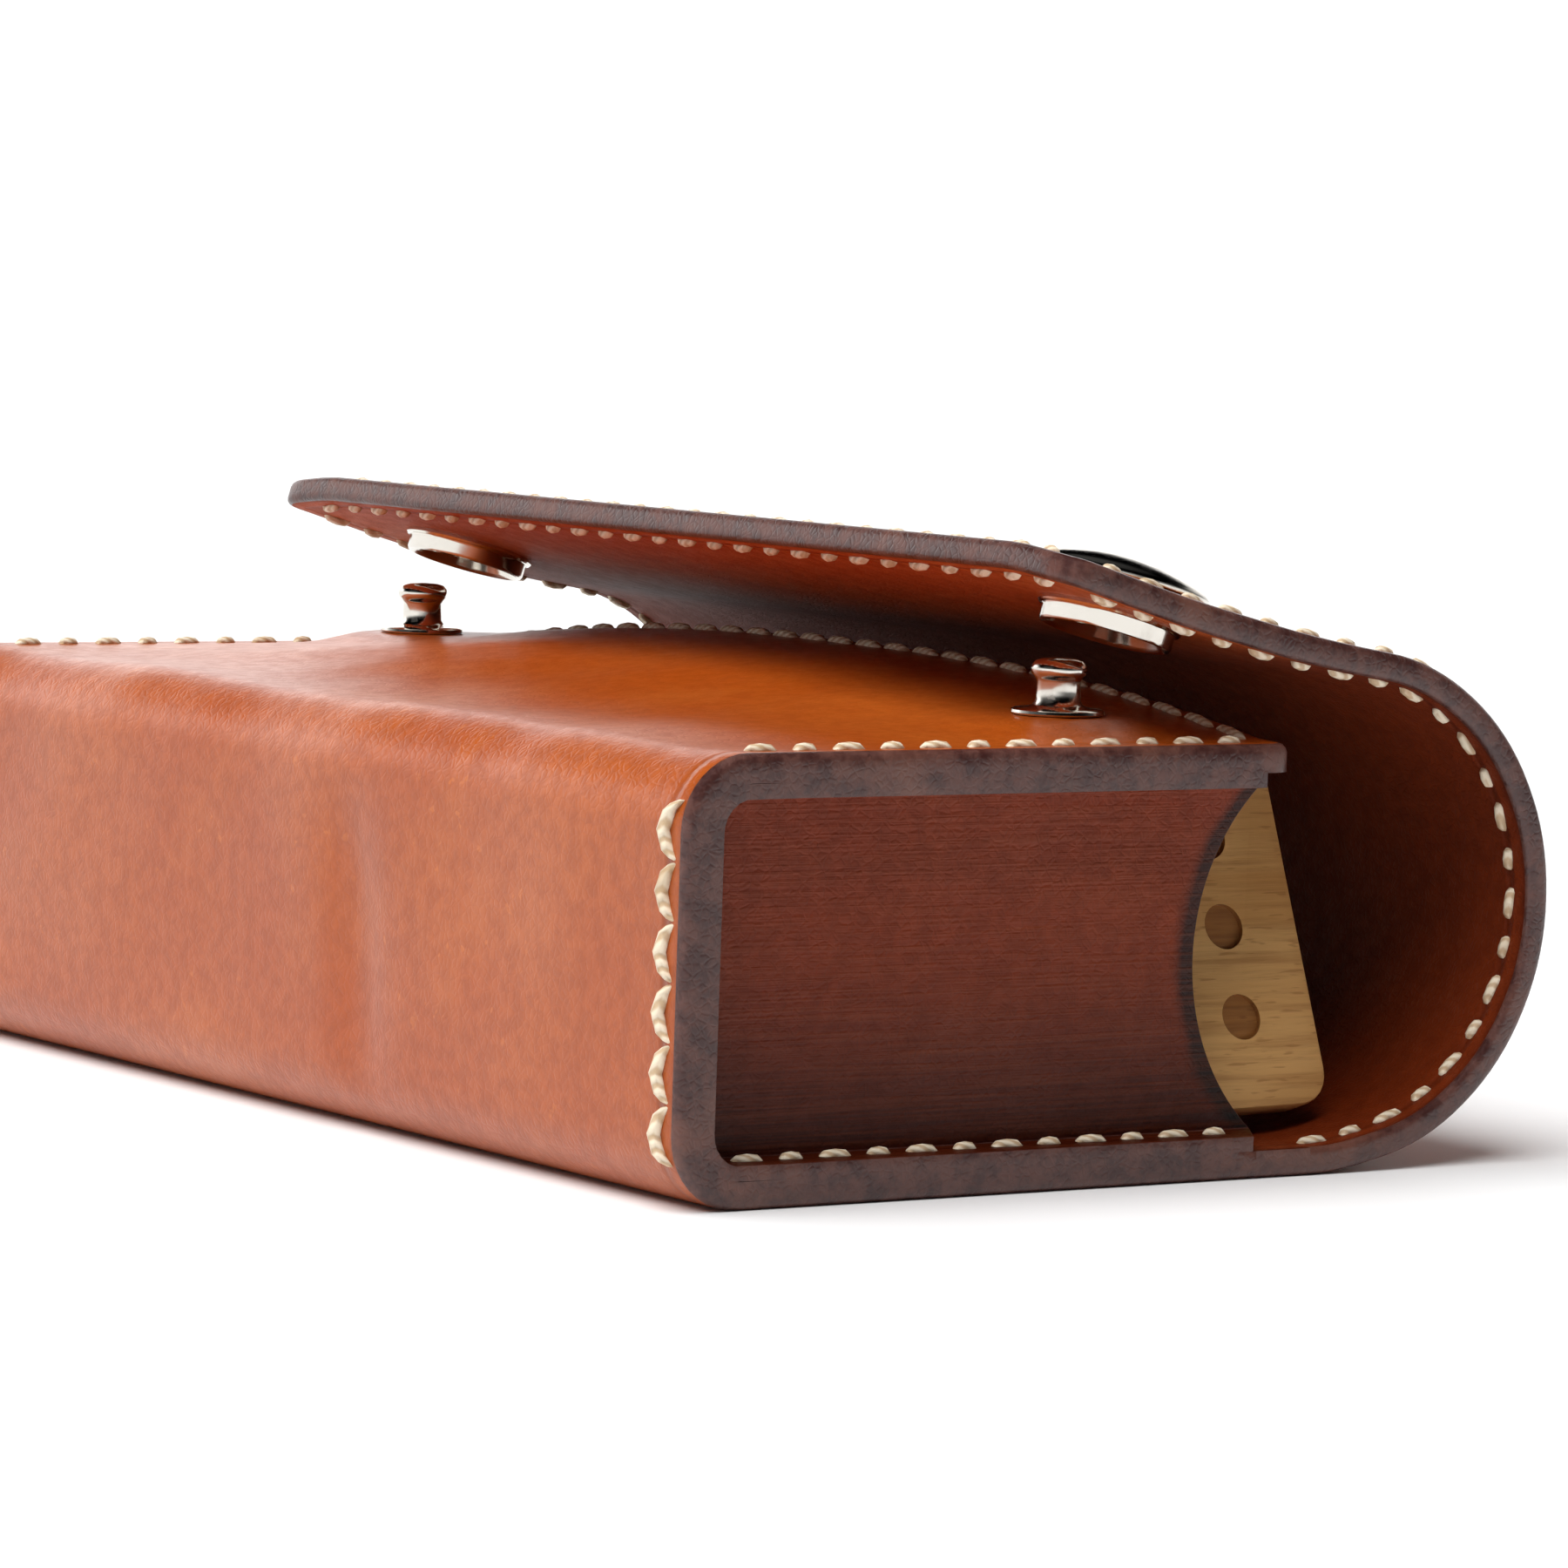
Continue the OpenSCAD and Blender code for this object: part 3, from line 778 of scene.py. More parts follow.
sew("front_panel_seams", stitches, side_places(CASE_H + LIFT, UP), "front_panel_stitches")
sew("mouth_seam", long_stitches, [mouth_place(y) for y in Y_SPOTS], "mouth_stitches")
sew("back_panel_seams", stitches, side_places(SKIN_T + WALL_T + LIFT, UP), "back_panel_stitches")
sew("underside_seams", stitches, side_places(UNDERSIDE_Z, DOWN))
for label, side in SIDES.items():
    places = [((END_X - LIFT, side * LOOP_Y, z), (0, 0, side), (-1, 0, 0)) for z in Z_SPOTS]
    sew(label + "_end_seam", loops, places, label + "_seam_stitches")

# %% [markdown]
# ## Seams of the flap
# The flap's seam follows its edge on both faces. The stitches are placed by their distance along the middle
# line, so they follow the curl of the leather.

# %% Flap seams
def along_line(middle):
    """Distances of the points along a middle line."""
    reach = [0]
    for a, b in zip(middle, middle[1:]):
        reach.append(reach[-1] + hypot(b[0] - a[0], b[1] - a[1]))
    return reach


def spot_on(middle, reach, s):
    """The point and heading of the middle line at the distance s."""
    k = max(i for i in range(len(reach) - 1) if reach[i] <= s + 1e-9)
    t = (s - reach[k]) / (reach[k + 1] - reach[k])
    return tuple(a + (b - a) * t for a, b in zip(middle[k], middle[k + 1]))


def face_place(spot, y, face, along_y=False):
    """The stitch over a spot of the flap. face: 1 for the inner face and -1 for the outer one."""
    x, z, h = spot[0], spot[1], radians(spot[2])
    way = (SLANT, 1, 0) if along_y else (cos(h), SLANT * (1 if y > 0 else -1), sin(h))
    up = (-sin(h) * face, 0, cos(h) * face)
    on_table = z < 3 * MM and up[2] < -0.5
    out = SKIN_T / 2 + LIFT - (THREAD_R if on_table else 0)
    return (x + up[0] * out, y, z + up[2] * out), way, up


for part, middle in FLAP_LINES.items():
    reach = along_line(middle)
    stop = reach[-1] - (CORNER_R if part == "end" else 0)
    places = [face_place(spot_on(middle, reach, s), side * SEAM_Y, face)
              for side in (-1, 1) for face in (1, -1) for s in spread(0, stop, PITCH_ALONG)]
    if part == "end":
        spot = spot_on(middle, reach, reach[-1] - STITCH_IN)
        places += [face_place(spot, y, face, True) for face in (1, -1) for y in Y_SPOTS]
    piece = seam("flap_" + part + "_seams", stitches, places)
    if part == "end":
        droop(piece)
    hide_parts(*["flap_stitches_" + str(n) for n in STANDS_FOR[part]])
    flap_parts[part] += (piece,)
    print(piece.name, len(places), "stitches")
for pattern in stitches + loops + long_stitches:
    bpy.data.objects.remove(pattern)

# %% [markdown]
# ## Turned metal parts
# The parts of the snaps are pressed from sheet, and all of them are round. A circle is extruded ring by
# ring along the profile and scaled to each radius. That gives the same shape as spinning the profile,
# with no seam.

# %% Turning a profile
SEGMENTS = 48


def onto(base, axis):
    """The matrix that stands a piece on its base point, along the axis."""
    return Matrix.Translation(base) @ Vector(axis).to_track_quat("Z", "Y").to_matrix().to_4x4()


def turned(name, profile, base, axis, ring=False):
    """profile: (radius, height) in millimetres from the axis. ring: the last ring joins the first."""
    r, h = profile[0]
    piece = fresh(bpy.ops.mesh.primitive_circle_add, name, vertices=SEGMENTS, radius=r * MM,
                  fill_type="NOTHING" if ring else "NGON")
    pick(piece, lambda p: True)
    bpy.ops.transform.translate(value=(0, 0, h * MM))
    for nr, nh in profile[1:]:
        bpy.ops.mesh.extrude_region_move(TRANSFORM_OT_translate={"value": (0, 0, (nh - h) * MM)})
        bpy.ops.transform.resize(value=(nr / r, nr / r, 1), center_override=(0, 0, nh * MM))
        r, h = nr, nh
    if ring:
        done(piece)
        mesh = clear(piece)
        points = len(mesh.vertices)
        first, last = set(range(SEGMENTS)), set(range(points - SEGMENTS, points))
        for e in mesh.edges:
            e.select = set(e.vertices) <= first or set(e.vertices) <= last
        edit("EDGE")
        bpy.ops.mesh.bridge_edge_loops()
    bpy.ops.mesh.select_all(action="SELECT")
    bpy.ops.mesh.normals_make_consistent(inside=False)
    done(piece)
    piece.data.transform(onto(base, axis))
    take(piece)
    bpy.ops.object.shade_smooth_by_angle(angle=radians(38))
    return piece


print("a turned piece has", SEGMENTS, "sides")

# %% [markdown]
# ## Snaps
# Each snap is a domed cap on the flap with a socket under it, and a stud on the front panel. The rims
# are rolled, so the profiles have a small round bead where the sheet is turned over.

# %% Caps, sockets and studs
CAP = [(0.1, 0), (6.0, 0), (6.24, 0.12), (6.3, 0.35), (6.22, 0.58), (6.0, 0.8), (5.4, 1.14), (4.6, 1.48),
       (3.6, 1.82), (2.5, 2.05), (1.3, 2.17), (0.1, 2.2)]
SOCKET = [(3.25, 0), (3.75, 0.8), (4.05, 1.3), (4.15, 1.5), (4.32, 1.6), (4.5, 1.54), (4.6, 1.35),
          (4.62, 0.6), (4.7, 0.44), (4.9, 0.4), (5.0, 0.26), (4.98, 0)]
STUD = [(0.1, 0), (3.1, 0), (3.2, 0.12), (3.16, 0.3), (2.9, 0.42), (2.2, 0.46), (1.7, 0.62), (1.5, 0.95),
        (1.48, 2.2), (1.6, 2.45), (1.82, 2.7), (1.9, 3.0), (1.84, 3.3), (1.6, 3.58), (1.1, 3.74), (0.1, 3.8)]
FOOT_Z = CASE_H + SEAT + 0.05 * MM
h = radians(FLAP_HEADING)
inward, outward = Vector((-sin(h), 0, cos(h))), Vector((sin(h), 0, -cos(h)))
snap_x, snap_z, _ = on_length(8, SNAP_REACH)
metal = []
for label, side in SIDES.items():
    centre = Vector((snap_x, side * SNAP_Y, snap_z))
    cap = turned(label + "_cap", CAP, centre + outward * SKIN_T / 2, outward)
    socket = turned(label + "_socket", SOCKET, centre + inward * SKIN_T / 2, inward, ring=True)
    stud = turned(label + "_stud", STUD, (STUD_X, side * SNAP_Y, FOOT_Z), UP)
    kinds = ((cap, "cap", "flap_end"), (socket, "socket", "flap_end"), (stud, "stud", "case"))
    for piece, kind, body in kinds:
        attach(piece, body)
        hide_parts(label + "_snap_" + kind)
        metal.append(piece)
print("metal pieces:", [p.name for p in metal])

# %% [markdown]
# ## Holes for the snaps
# The stud goes through the leather into the cap. A boolean with a cylinder punches the hole, as the leather
# worker's punch does. With the holes made, each piece of the flap has its place baked into its mesh.

# %% Punching the flap
PUNCH_DEPTH = 8 * MM


def punch(piece, centres, axis, radius):
    for centre in centres:
        tool = fresh(bpy.ops.mesh.primitive_cylinder_add, "punch",
                     vertices=32, radius=radius, depth=PUNCH_DEPTH)
        tool.data.transform(onto(centre, axis))
        cut = piece.modifiers.new("punch", "BOOLEAN")
        cut.operation, cut.object, cut.solver = "DIFFERENCE", tool, "EXACT"
        apply_all(piece)
        bpy.data.objects.remove(tool)


holes = [Vector((snap_x, side * SNAP_Y, snap_z)) for side in SIDES.values()]
for piece in flap_parts["end"][:2]:
    punch(piece, holes, outward, FLANGE_R)
    print(piece.name, "punched:", len(piece.data.polygons), "faces")
BENDS = {"base": ("case", "flap_base", (27.2 * MM, 0, 0), (31 * MM, 0, 0)),
         "curl": ("flap_base", "flap_curl", (0, 0, 6.6 * MM), (0, 0, 24.5 * MM)),
         "end": ("flap_curl", "flap_end", (30 * MM, 0, 0), (22.5 * MM, 0, 0))}
for part, (before, after, start, end) in BENDS.items():
    for piece in flap_parts[part]:
        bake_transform(piece)

# %% [markdown]
# ## Wooden tiles
# A domino is a small block with rounded corners. A cube is scaled to size, its four standing edges are
# bevelled to the corner radius and all others are softened.

# %% One tile
TILE_L, TILE_T, TILE_R, LEAN = 50.8 * MM, 2.8 * MM, 2.4 * MM, radians(20)
HEAD_ROOM, TILE_SOFT = 0.575 * MM, 0.3 * MM
TILE_W = (CASE_H - 2 * SKIN_T - HEAD_ROOM - TILE_T * sin(LEAN)) / cos(LEAN)


def model_tile():
    tile = fresh(bpy.ops.mesh.primitive_cube_add, "tile", size=1)
    pick(tile, lambda p: True)
    bpy.ops.transform.resize(value=(TILE_L, TILE_W, TILE_T), center_override=(0, 0, 0))
    bpy.ops.transform.translate(value=(TILE_L / 2, TILE_W / 2, TILE_T / 2))
    done(tile)
    pick(tile, lambda a, b: abs(a.z - b.z) > TILE_T / 2, "EDGE")
    bpy.ops.mesh.bevel(offset=TILE_R, segments=6, profile=0.5)
    done(tile)
    pick(tile, lambda a, b: abs(a.z - b.z) < 1e-6, "EDGE")
    bpy.ops.mesh.bevel(offset=TILE_SOFT, segments=2, profile=0.5)
    done(tile)
    bpy.ops.object.shade_smooth_by_angle(angle=radians(50))
    return tile


blank = model_tile()
print("tile:", [round(v / MM, 1) for v in blank.dimensions], "mm")

# %% [markdown]
# ## The row of tiles
# The tiles stand on their long edges and lean against the near wall. Each copy is laid on its side,
# leaned over and set one pitch further on, and some stick out a fraction of a millimetre more.

# %% Placing the row
TILES, PLAY, FOOT_PLAY, UNEVEN = 27, 0.3 * MM, 0.15 * MM, 0.12 * MM
PITCH = (TILE_T + 0.075 * MM) / cos(LEAN)
HOME_X, ROW_Y = END_X + SKIN_T + PLAY, -(WALL_Y - WALL_T - WALL_LINING_T) + PLAY
FOOT_HEIGHT = SKIN_T + FOOT_PLAY + TILE_T * sin(LEAN)


def leaning(x, y, nose=0):
    """nose: how far the front end dips, in degrees."""
    return (Matrix.Translation((x, y, FOOT_HEIGHT)) @ Matrix.Rotation(-LEAN, 4, "X")
            @ Matrix.Translation((0, TILE_T, 0)) @ Matrix.Rotation(pi / 2, 4, "X")
            @ Matrix.Rotation(radians(nose), 4, "Z"))


tiles = join_copies("tiles", [(blank, leaning(HOME_X + UNEVEN * ((i * 7) % 5), ROW_Y + i * PITCH))
                              for i in range(1, TILES)])
room = int((-2 * ROW_Y + PLAY - TILE_T * cos(LEAN) - TILE_W * sin(LEAN)) / PITCH)
print("tiles behind the first:", TILES - 1, "and the row has room for", room)

# %% [markdown]
# ## The tile in the mouth
# The first tile stands out past the others. Its pips are shallow round dents, scorched into the wood. A
# cylinder dips 0.4 mm into the face for each, and the new faces get the second material slot.

# %% Punching the pips
TILE_OUT, NOSE, PIP_R, PIP_DEPTH = 4.5 * MM, 1.2, 1.6 * MM, 0.4 * MM
first = blank
first.name = first.data.name = "pulled_tile"
pips = [Vector((TILE_L / 2 + across * TILE_L / 8, row * TILE_W / 4, TILE_T))
        for row in (1, 2, 3) for across in (1, 3)]
punch(first, [pip + Vector((0, 0, PUNCH_DEPTH / 2 - PIP_DEPTH)) for pip in pips], UP, PIP_R)
first.data.materials.append(None)
first.data.materials.append(None)
for f in first.data.polygons:
    in_pip = any(hypot(f.center.x - pip.x, f.center.y - pip.y) < PIP_R * 1.01 for pip in pips)
    f.material_index = int(in_pip and abs(f.center.z - TILE_T) > 1e-6 and f.center.z > TILE_T / 2)
bpy.ops.object.shade_smooth_by_angle(angle=radians(30))
first.data.transform(leaning(HOME_X + TILE_OUT, ROW_Y, NOSE))
for piece, node, body in ((tiles, "tile_row", "case"), (first, "first_tile", "first_tile")):
    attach(piece, body)
    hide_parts(node)
print("pips:", len(pips))

# %% [markdown]
# ## How far a point is from the cut edge
# Leather changes close to its cut edges: it is rubbed darker, and the stitch groove runs at a fixed
# distance. So each leather piece carries that distance, in millimetres, as an attribute on its points.

# %% Marking the margins
FAR_AWAY = 1
tip_x, tip_z, tip_heading = end_line[-1]
tip = Vector((tip_x, 0, tip_z))
tip_way = Vector((cos(radians(tip_heading)), 0, sin(radians(tip_heading))))


def side_edge(p):
    return HALF_W - abs(p.y)


def mouth_edge(p):
    return min(side_edge(p), MOUTH_X - p.x if p.z > CASE_H / 2 else FAR_AWAY)


def flap_end(p):
    return min(side_edge(p), (tip - p).dot(tip_way))


def mark_margin(piece, to_edge):
    """to_edge(point): distance to the nearest cut edge, in metres."""
    margin = piece.data.attributes.new("margin", "FLOAT", "POINT")
    for v, m in zip(piece.data.vertices, margin.data):
        m.value = to_edge(v.co) / MM


walls = [bpy.data.objects[label + kind] for label in SIDES for kind in ("_side_wall", "_side_lining")]
to_mark = [(piece, mouth_edge) for piece in (wrap, wrap_lining)]
to_mark += [(piece, flap_end if part == "end" else side_edge)
            for part, pieces in flap_parts.items() for piece in pieces[:2]]
to_mark += [(piece, lambda p: thumb_cut(p.z) - p.x) for piece in walls]
for piece, to_edge in to_mark:
    mark_margin(piece, to_edge)
print("margins marked on", len(to_mark), "pieces")

# %% [markdown]
# ## Building with nodes
# Every finish is built from a few kinds of node: noise, a mask spread between two limits, and colours
# mixed by a mask. The first helper adds a node, sets its plain values and links whatever is given as a
# socket, and the others are the nodes that are used over and over.

# %% Node helpers
def add(tree, kind, settings=None, **inputs):
    """Adds a node. An input given as a socket is linked, anything else is set as its value."""
    node = tree.nodes.new(kind)
    for key, value in (settings or {}).items():
        setattr(node, key, value)
    for key, value in inputs.items():
        place = int(key[1:]) if key[0] == "i" and key[1:].isdigit() else key.replace("_", " ")
        if isinstance(value, bpy.types.NodeSocket):
            tree.links.new(value, node.inputs[place])
        else:
            node.inputs[place].default_value = value
    return node


def math(tree, operation, a, b=0.0, c=0.0):
    """One step of arithmetic on up to three numbers or sockets."""
    return add(tree, "ShaderNodeMath", {"operation": operation}, i0=a, i1=b, i2=c).outputs[0]


def mix(tree, factor, a, b, blend="MIX"):
    """Mixes two colours."""
    node = add(tree, "ShaderNodeMix", {"data_type": "RGBA", "blend_type": blend}, i0=factor, i6=a, i7=b)
    return node.outputs[2]


def tint(tree, dye, mask, amount, tone):
    """Moves the dye towards a second colour, by this amount where the mask is white."""
    return mix(tree, math(tree, "MULTIPLY", mask, amount), dye, tone)


def noise(tree, place, scale, detail, roughness=0.5, distortion=0.0, output="Fac"):
    node = add(tree, "ShaderNodeTexNoise", Vector=place, Scale=scale, Detail=detail,
               Roughness=roughness, Distortion=distortion)
    return node.outputs[output]


def squeezed(tree, place, scale, turn=(0, 0, 0)):
    """Coordinates that make a texture run lengthwise."""
    return add(tree, "ShaderNodeMapping", Vector=place, Rotation=turn, Scale=scale).outputs[0]


def spread_to(tree, value, low_in, high_in, low_out=0.0, high_out=1.0):
    """Map Range with smooth ends."""
    return add(tree, "ShaderNodeMapRange", {"interpolation_type": "SMOOTHSTEP"},
               i0=value, i1=low_in, i2=high_in, i3=low_out, i4=high_out).outputs[0]


def color(code):
    """The linear values of a colour that is written as six hexadecimal digits."""
    parts = [int(code[i:i + 2], 16) / 255 for i in (0, 2, 4)]
    return tuple([p / 12.92 if p < 0.04045 else ((p + 0.055) / 1.055) ** 2.4 for p in parts] + [1])


print("saddle tan in linear values:", [round(c, 3) for c in color("A84A0C")])

# %% [markdown]
# ## Groups and materials
# Effects that several materials share are node groups: built once, then placed in each material with
# its own values. Each material links its colour, roughness and fine relief to its shader in one step.

# %% Group and material helpers
def new_group(name, inputs, outputs):
    """inputs: a start value for each number, and None for a vector."""
    tree = bpy.data.node_groups.new(name, "ShaderNodeTree")
    for key, value in inputs.items():
        kind = "NodeSocketVector" if value is None else "NodeSocketFloat"
        socket = tree.interface.new_socket(key, in_out="INPUT", socket_type=kind)
        if value is not None:
            socket.default_value = value
    for key, kind in outputs.items():
        tree.interface.new_socket(key, in_out="OUTPUT", socket_type="NodeSocket" + kind)
    return tree, tree.nodes.new("NodeGroupInput").outputs, tree.nodes.new("NodeGroupOutput").inputs


def use(tree, group, **inputs):
    return add(tree, "ShaderNodeGroup", {"node_tree": group}, **inputs).outputs


def new_material(name):
    """A material with a Principled BSDF: (material, tree, shader, object coordinates)."""
    material = bpy.data.materials.new(name)
    material.use_nodes = True
    tree = material.node_tree
    shader = tree.nodes["Principled BSDF"]
    return material, tree, shader, tree.nodes.new("ShaderNodeTexCoord").outputs["Object"]


def surface(tree, shader, dye, roughness, depth, height):
    """Links the looks. The height counts in steps of so many millimetres of depth."""
    bump = add(tree, "ShaderNodeBump", Strength=1.0, Distance=depth * MM, Height=height)
    for place, value in (("Base Color", dye), ("Roughness", roughness), ("Normal", bump.outputs["Normal"])):
        tree.links.new(value, shader.inputs[place])


print("materials so far:", len(bpy.data.materials))

# %% [markdown]
# ## Shared effect: the grain of the hide
# Hide has small pores and creases under a mottled dye. Voronoi cells give the pores, bent a little by
# noise so that they look grown, and three sizes of noise give the dye: cloudy, mottled and speckled.

# %% Grain group
grain_group, given, result = new_group("hide_grain", {"Vector": None, "Pores": 1500.0},
                                       {"Height": "Float", "Mottle": "Float", "Cloud": "Float"})
t = grain_group
spot = given["Vector"]
bent = add(t, "ShaderNodeVectorMath", {"operation": "MULTIPLY_ADD"},
           i0=noise(t, spot, 700.0, 2.0, output="Color"), i1=(0.0006,) * 3, i2=spot).outputs[0]
pores = add(t, "ShaderNodeTexVoronoi", {"feature": "DISTANCE_TO_EDGE"}, Vector=bent, Scale=given["Pores"])
pore_height = math(t, "MULTIPLY", spread_to(t, pores.outputs["Distance"], 0.0, 0.22), 0.65)
t.links.new(math(t, "MULTIPLY_ADD", noise(t, spot, 4200.0, 3.0, 0.6), 0.35, pore_height), result["Height"])
t.links.new(spread_to(t, noise(t, spot, 780.0, 4.0, 0.62), 0.34, 0.66), result["Mottle"])
t.links.new(spread_to(t, noise(t, spot, 45.0, 4.0, 0.55), 0.3, 0.7), result["Cloud"])
print(grain_group.name, "nodes:", len(t.nodes))

# %% [markdown]
# ## Shared effect: what happens near an edge
# The group turns the margin attribute into two masks. Burnish fades in over the last millimetre before
# the edge, a little unevenly. Groove marks the furrow that the thread lies in.

# %% Edge group
edge_group, given, result = new_group(
    "edge_work", {"Vector": None, "Burnish Width": 1.1, "Groove Place": STITCH_IN / MM, "Groove Half": 0.55},
    {"Burnish": "Float", "Groove": "Float"})
t = edge_group
margin = add(t, "ShaderNodeAttribute", {"attribute_name": "margin"}).outputs["Fac"]
uneven = math(t, "MULTIPLY_ADD", noise(t, given["Vector"], 300.0, 3.0), 0.9, math(t, "ADD", margin, -0.45))
t.links.new(spread_to(t, uneven, given["Burnish Width"], 0.0), result["Burnish"])
off = math(t, "ABSOLUTE", math(t, "SUBTRACT", margin, given["Groove Place"]))
t.links.new(spread_to(t, off, given["Groove Half"], 0.0), result["Groove"])
print(edge_group.name, "nodes:", len(t.nodes))

# %% [markdown]
# ## Shared effect: handling marks
# Handled leather and metal pick up fine scratches and rubbed patches. Noise stretched along one way
# gives scratches, and a second noise keeps them to a few patches.

# %% Wear group
wear_group, given, result = new_group("handling_marks", {"Vector": None, "Scale": 60.0, "Amount": 0.5},
                                      {"Rubbed": "Float", "Scratches": "Float"})
t = wear_group
patch = noise(t, given["Vector"], given["Scale"], 5.0, 0.65)
t.links.new(math(t, "MULTIPLY", spread_to(t, patch, 0.52, 0.72), given["Amount"]), result["Rubbed"])
lines = noise(t, squeezed(t, given["Vector"], (60, 900, 900), turn=(0.3, 0.9, 0.5)), 1.0, 2.0)
scratches = math(t, "MULTIPLY", spread_to(t, lines, 0.66, 0.72), spread_to(t, patch, 0.45, 0.6))
t.links.new(math(t, "MULTIPLY", scratches, given["Amount"]), result["Scratches"])
print(wear_group.name, "nodes:", len(t.nodes))

# %% [markdown]
# ## Leather finishes
# The grain side is dyed saddle tan and waxed to a soft gloss. One function builds each leather finish
# from three dyes: deep in the creases and burnished edges, middle overall, light where it is rubbed.

# %% Grain side and lining
def leather_finish(name, dyes, roughness, bump=0.04, coat=0.0, pores=1900.0, groove=0.25, burnish=1.1,
                   edge_dark=0.8, shine=0.4):
    """groove and edge_dark: how strongly the furrow and the burnished edge darken the dye."""
    deep, middle, light = dyes
    material, t, shader, spot = new_material(name)
    grain = use(t, grain_group, Vector=spot, Pores=pores)
    edges = use(t, edge_group, Vector=spot, Burnish_Width=burnish)
    wear = use(t, wear_group, Vector=spot, Scale=70.0, Amount=0.6)
    pale, shade = mix(t, 0.35, color(middle), color(light)), mix(t, 0.55, color(middle), color(deep))
    dye = mix(t, grain["Cloud"], color(middle), pale)
    dye = tint(t, dye, grain["Mottle"], 0.4, shade)
    dye = mix(t, wear["Rubbed"], dye, mix(t, 0.5, color(middle), color(light)))
    dye = mix(t, wear["Scratches"], dye, color(light))
    dye = tint(t, dye, edges["Burnish"], edge_dark, color(deep))
    dye = tint(t, dye, edges["Groove"], groove, color(deep))
    rough = math(t, "MULTIPLY_ADD", wear["Rubbed"], -0.1, roughness)
    rough = math(t, "MULTIPLY_ADD", grain["Mottle"], 0.08, rough)
    height = math(t, "MULTIPLY_ADD", edges["Groove"], groove * -16, grain["Height"])
    height = math(t, "MULTIPLY_ADD", grain["Cloud"], 4.0, height)
    surface(t, shader, dye, rough, bump, height)
    shader.inputs["Coat Weight"].default_value = coat
    shader.inputs["Coat Roughness"].default_value = 0.3
    shader.inputs["Specular IOR Level"].default_value = shine
    return material


grain_side = leather_finish("saddle_tan_hide", ("642208", "A84A0C", "C46A28"), 0.33, bump=0.022, coat=0.3,
                            pores=1500.0)
inner_side = leather_finish("russet_lining", ("38110A", "6C280E", "80381A"), 0.6, shine=0.25)
print("leathers:", grain_side.name, inner_side.name)

# %% [markdown]
# ## Painted shade along the case
# The lining of the flap is painted darker inside the curl than on the flat end: painted shade, for the light
# that the curl keeps out. The side walls are painted darker near their foot: painted shade close to the
# table. Both are the leather finish with its dye multiplied by a second colour, which changes along one axis
# of the object.

# %% Painted shade on the flap lining and side walls
def retone(material, axis, low, high, low_color, high_color):
    """Paints shade: multiplies the dye by a colour that changes between two places on an axis."""
    t = material.node_tree
    shader = t.nodes["Principled BSDF"]
    dye = shader.inputs["Base Color"].links[0].from_socket
    spot = add(t, "ShaderNodeTexCoord").outputs["Object"]
    place = add(t, "ShaderNodeSeparateXYZ", Vector=spot).outputs[axis]
    tone = mix(t, spread_to(t, place, low, high), color(low_color), color(high_color))
    t.links.new(mix(t, 1.0, dye, tone, "MULTIPLY"), shader.inputs["Base Color"])


flap_side = leather_finish("flap_lining", ("5A200C", "B4521E", "C4683A"), 0.6, shine=0.2)
# painted shade: the lining darkens inside the curl, where light hardly reaches
retone(flap_side, "X", MOUTH_X - 9 * MM, MOUTH_X + 3 * MM, "FFFFFF", "A08880")
wall_side = leather_finish("russet_wall", ("2C0E08", "7E2C0C", "903E18"), 0.5, coat=0.05, pores=1500.0,
                           groove=0.0, burnish=2.0, edge_dark=1.7, shine=0.3)
# painted shade: the walls darken towards their foot, close to the table
retone(wall_side, "Z", 2 * MM, 20 * MM, "705850", "FFFFFF")
print("leathers:", flap_side.name, wall_side.name)

# %% [markdown]
# ## Brushed grain of the walls
# The side walls are cut so that their fibres run lengthwise, and show fine strokes. Noise on
# coordinates that are squeezed along the case gives the strokes, over the wall's own colour.

# %% Strokes on the walls
def brushed(material, strength):
    """Adds fine strokes to the dye and to the relief of a finished material."""
    t = material.node_tree
    spot = next(n for n in t.nodes if n.type == "TEX_COORD").outputs["Object"]
    shader = t.nodes["Principled BSDF"]
    amount = spread_to(t, noise(t, squeezed(t, spot, (70, 2000, 4200)), 1.0, 4.0, 0.6), 0.35, 0.68)
    dye = shader.inputs["Base Color"].links[0].from_socket
    t.links.new(tint(t, dye, amount, strength, color("8A4424")), shader.inputs["Base Color"])
    bump = shader.inputs["Normal"].links[0].from_node
    height = bump.inputs["Height"].links[0].from_socket
    t.links.new(math(t, "MULTIPLY_ADD", amount, 0.7, height), bump.inputs["Height"])


brushed(wall_side, 0.2)
print("nodes of the wall's finish:", len(wall_side.node_tree.nodes))

# %% [markdown]
# ## Burnished edges
# A cut edge is wetted and rubbed with a wooden slicker until its fibres lie down and shine. It keeps a
# mottled look, so it mixes two close colours by the grain's mottle and pales where it is handled.

# %% Burnished edge
cut_edge, t, shader, spot = new_material("burnished_edge")
grain = use(t, grain_group, Vector=spot, Pores=1700.0)
wear = use(t, wear_group, Vector=spot, Scale=120.0, Amount=0.7)
dye = mix(t, grain["Mottle"], color("402320"), color("603E37"))
dye = mix(t, wear["Rubbed"], dye, mix(t, 0.5, color("603E37"), color("8A5A48")))
surface(t, shader, dye, math(t, "MULTIPLY_ADD", grain["Mottle"], 0.15, 0.36), 0.03, grain["Height"])
shader.inputs["Coat Weight"].default_value = 0.2
print("cut edges:", cut_edge.name)

# %% [markdown]
# ## Waxed thread
# The thread is two cream plies twisted together. Its strands show as slanted bands. They are drawn with
# a wave on object coordinates, whose slant crosses the stitches whichever way a seam runs.

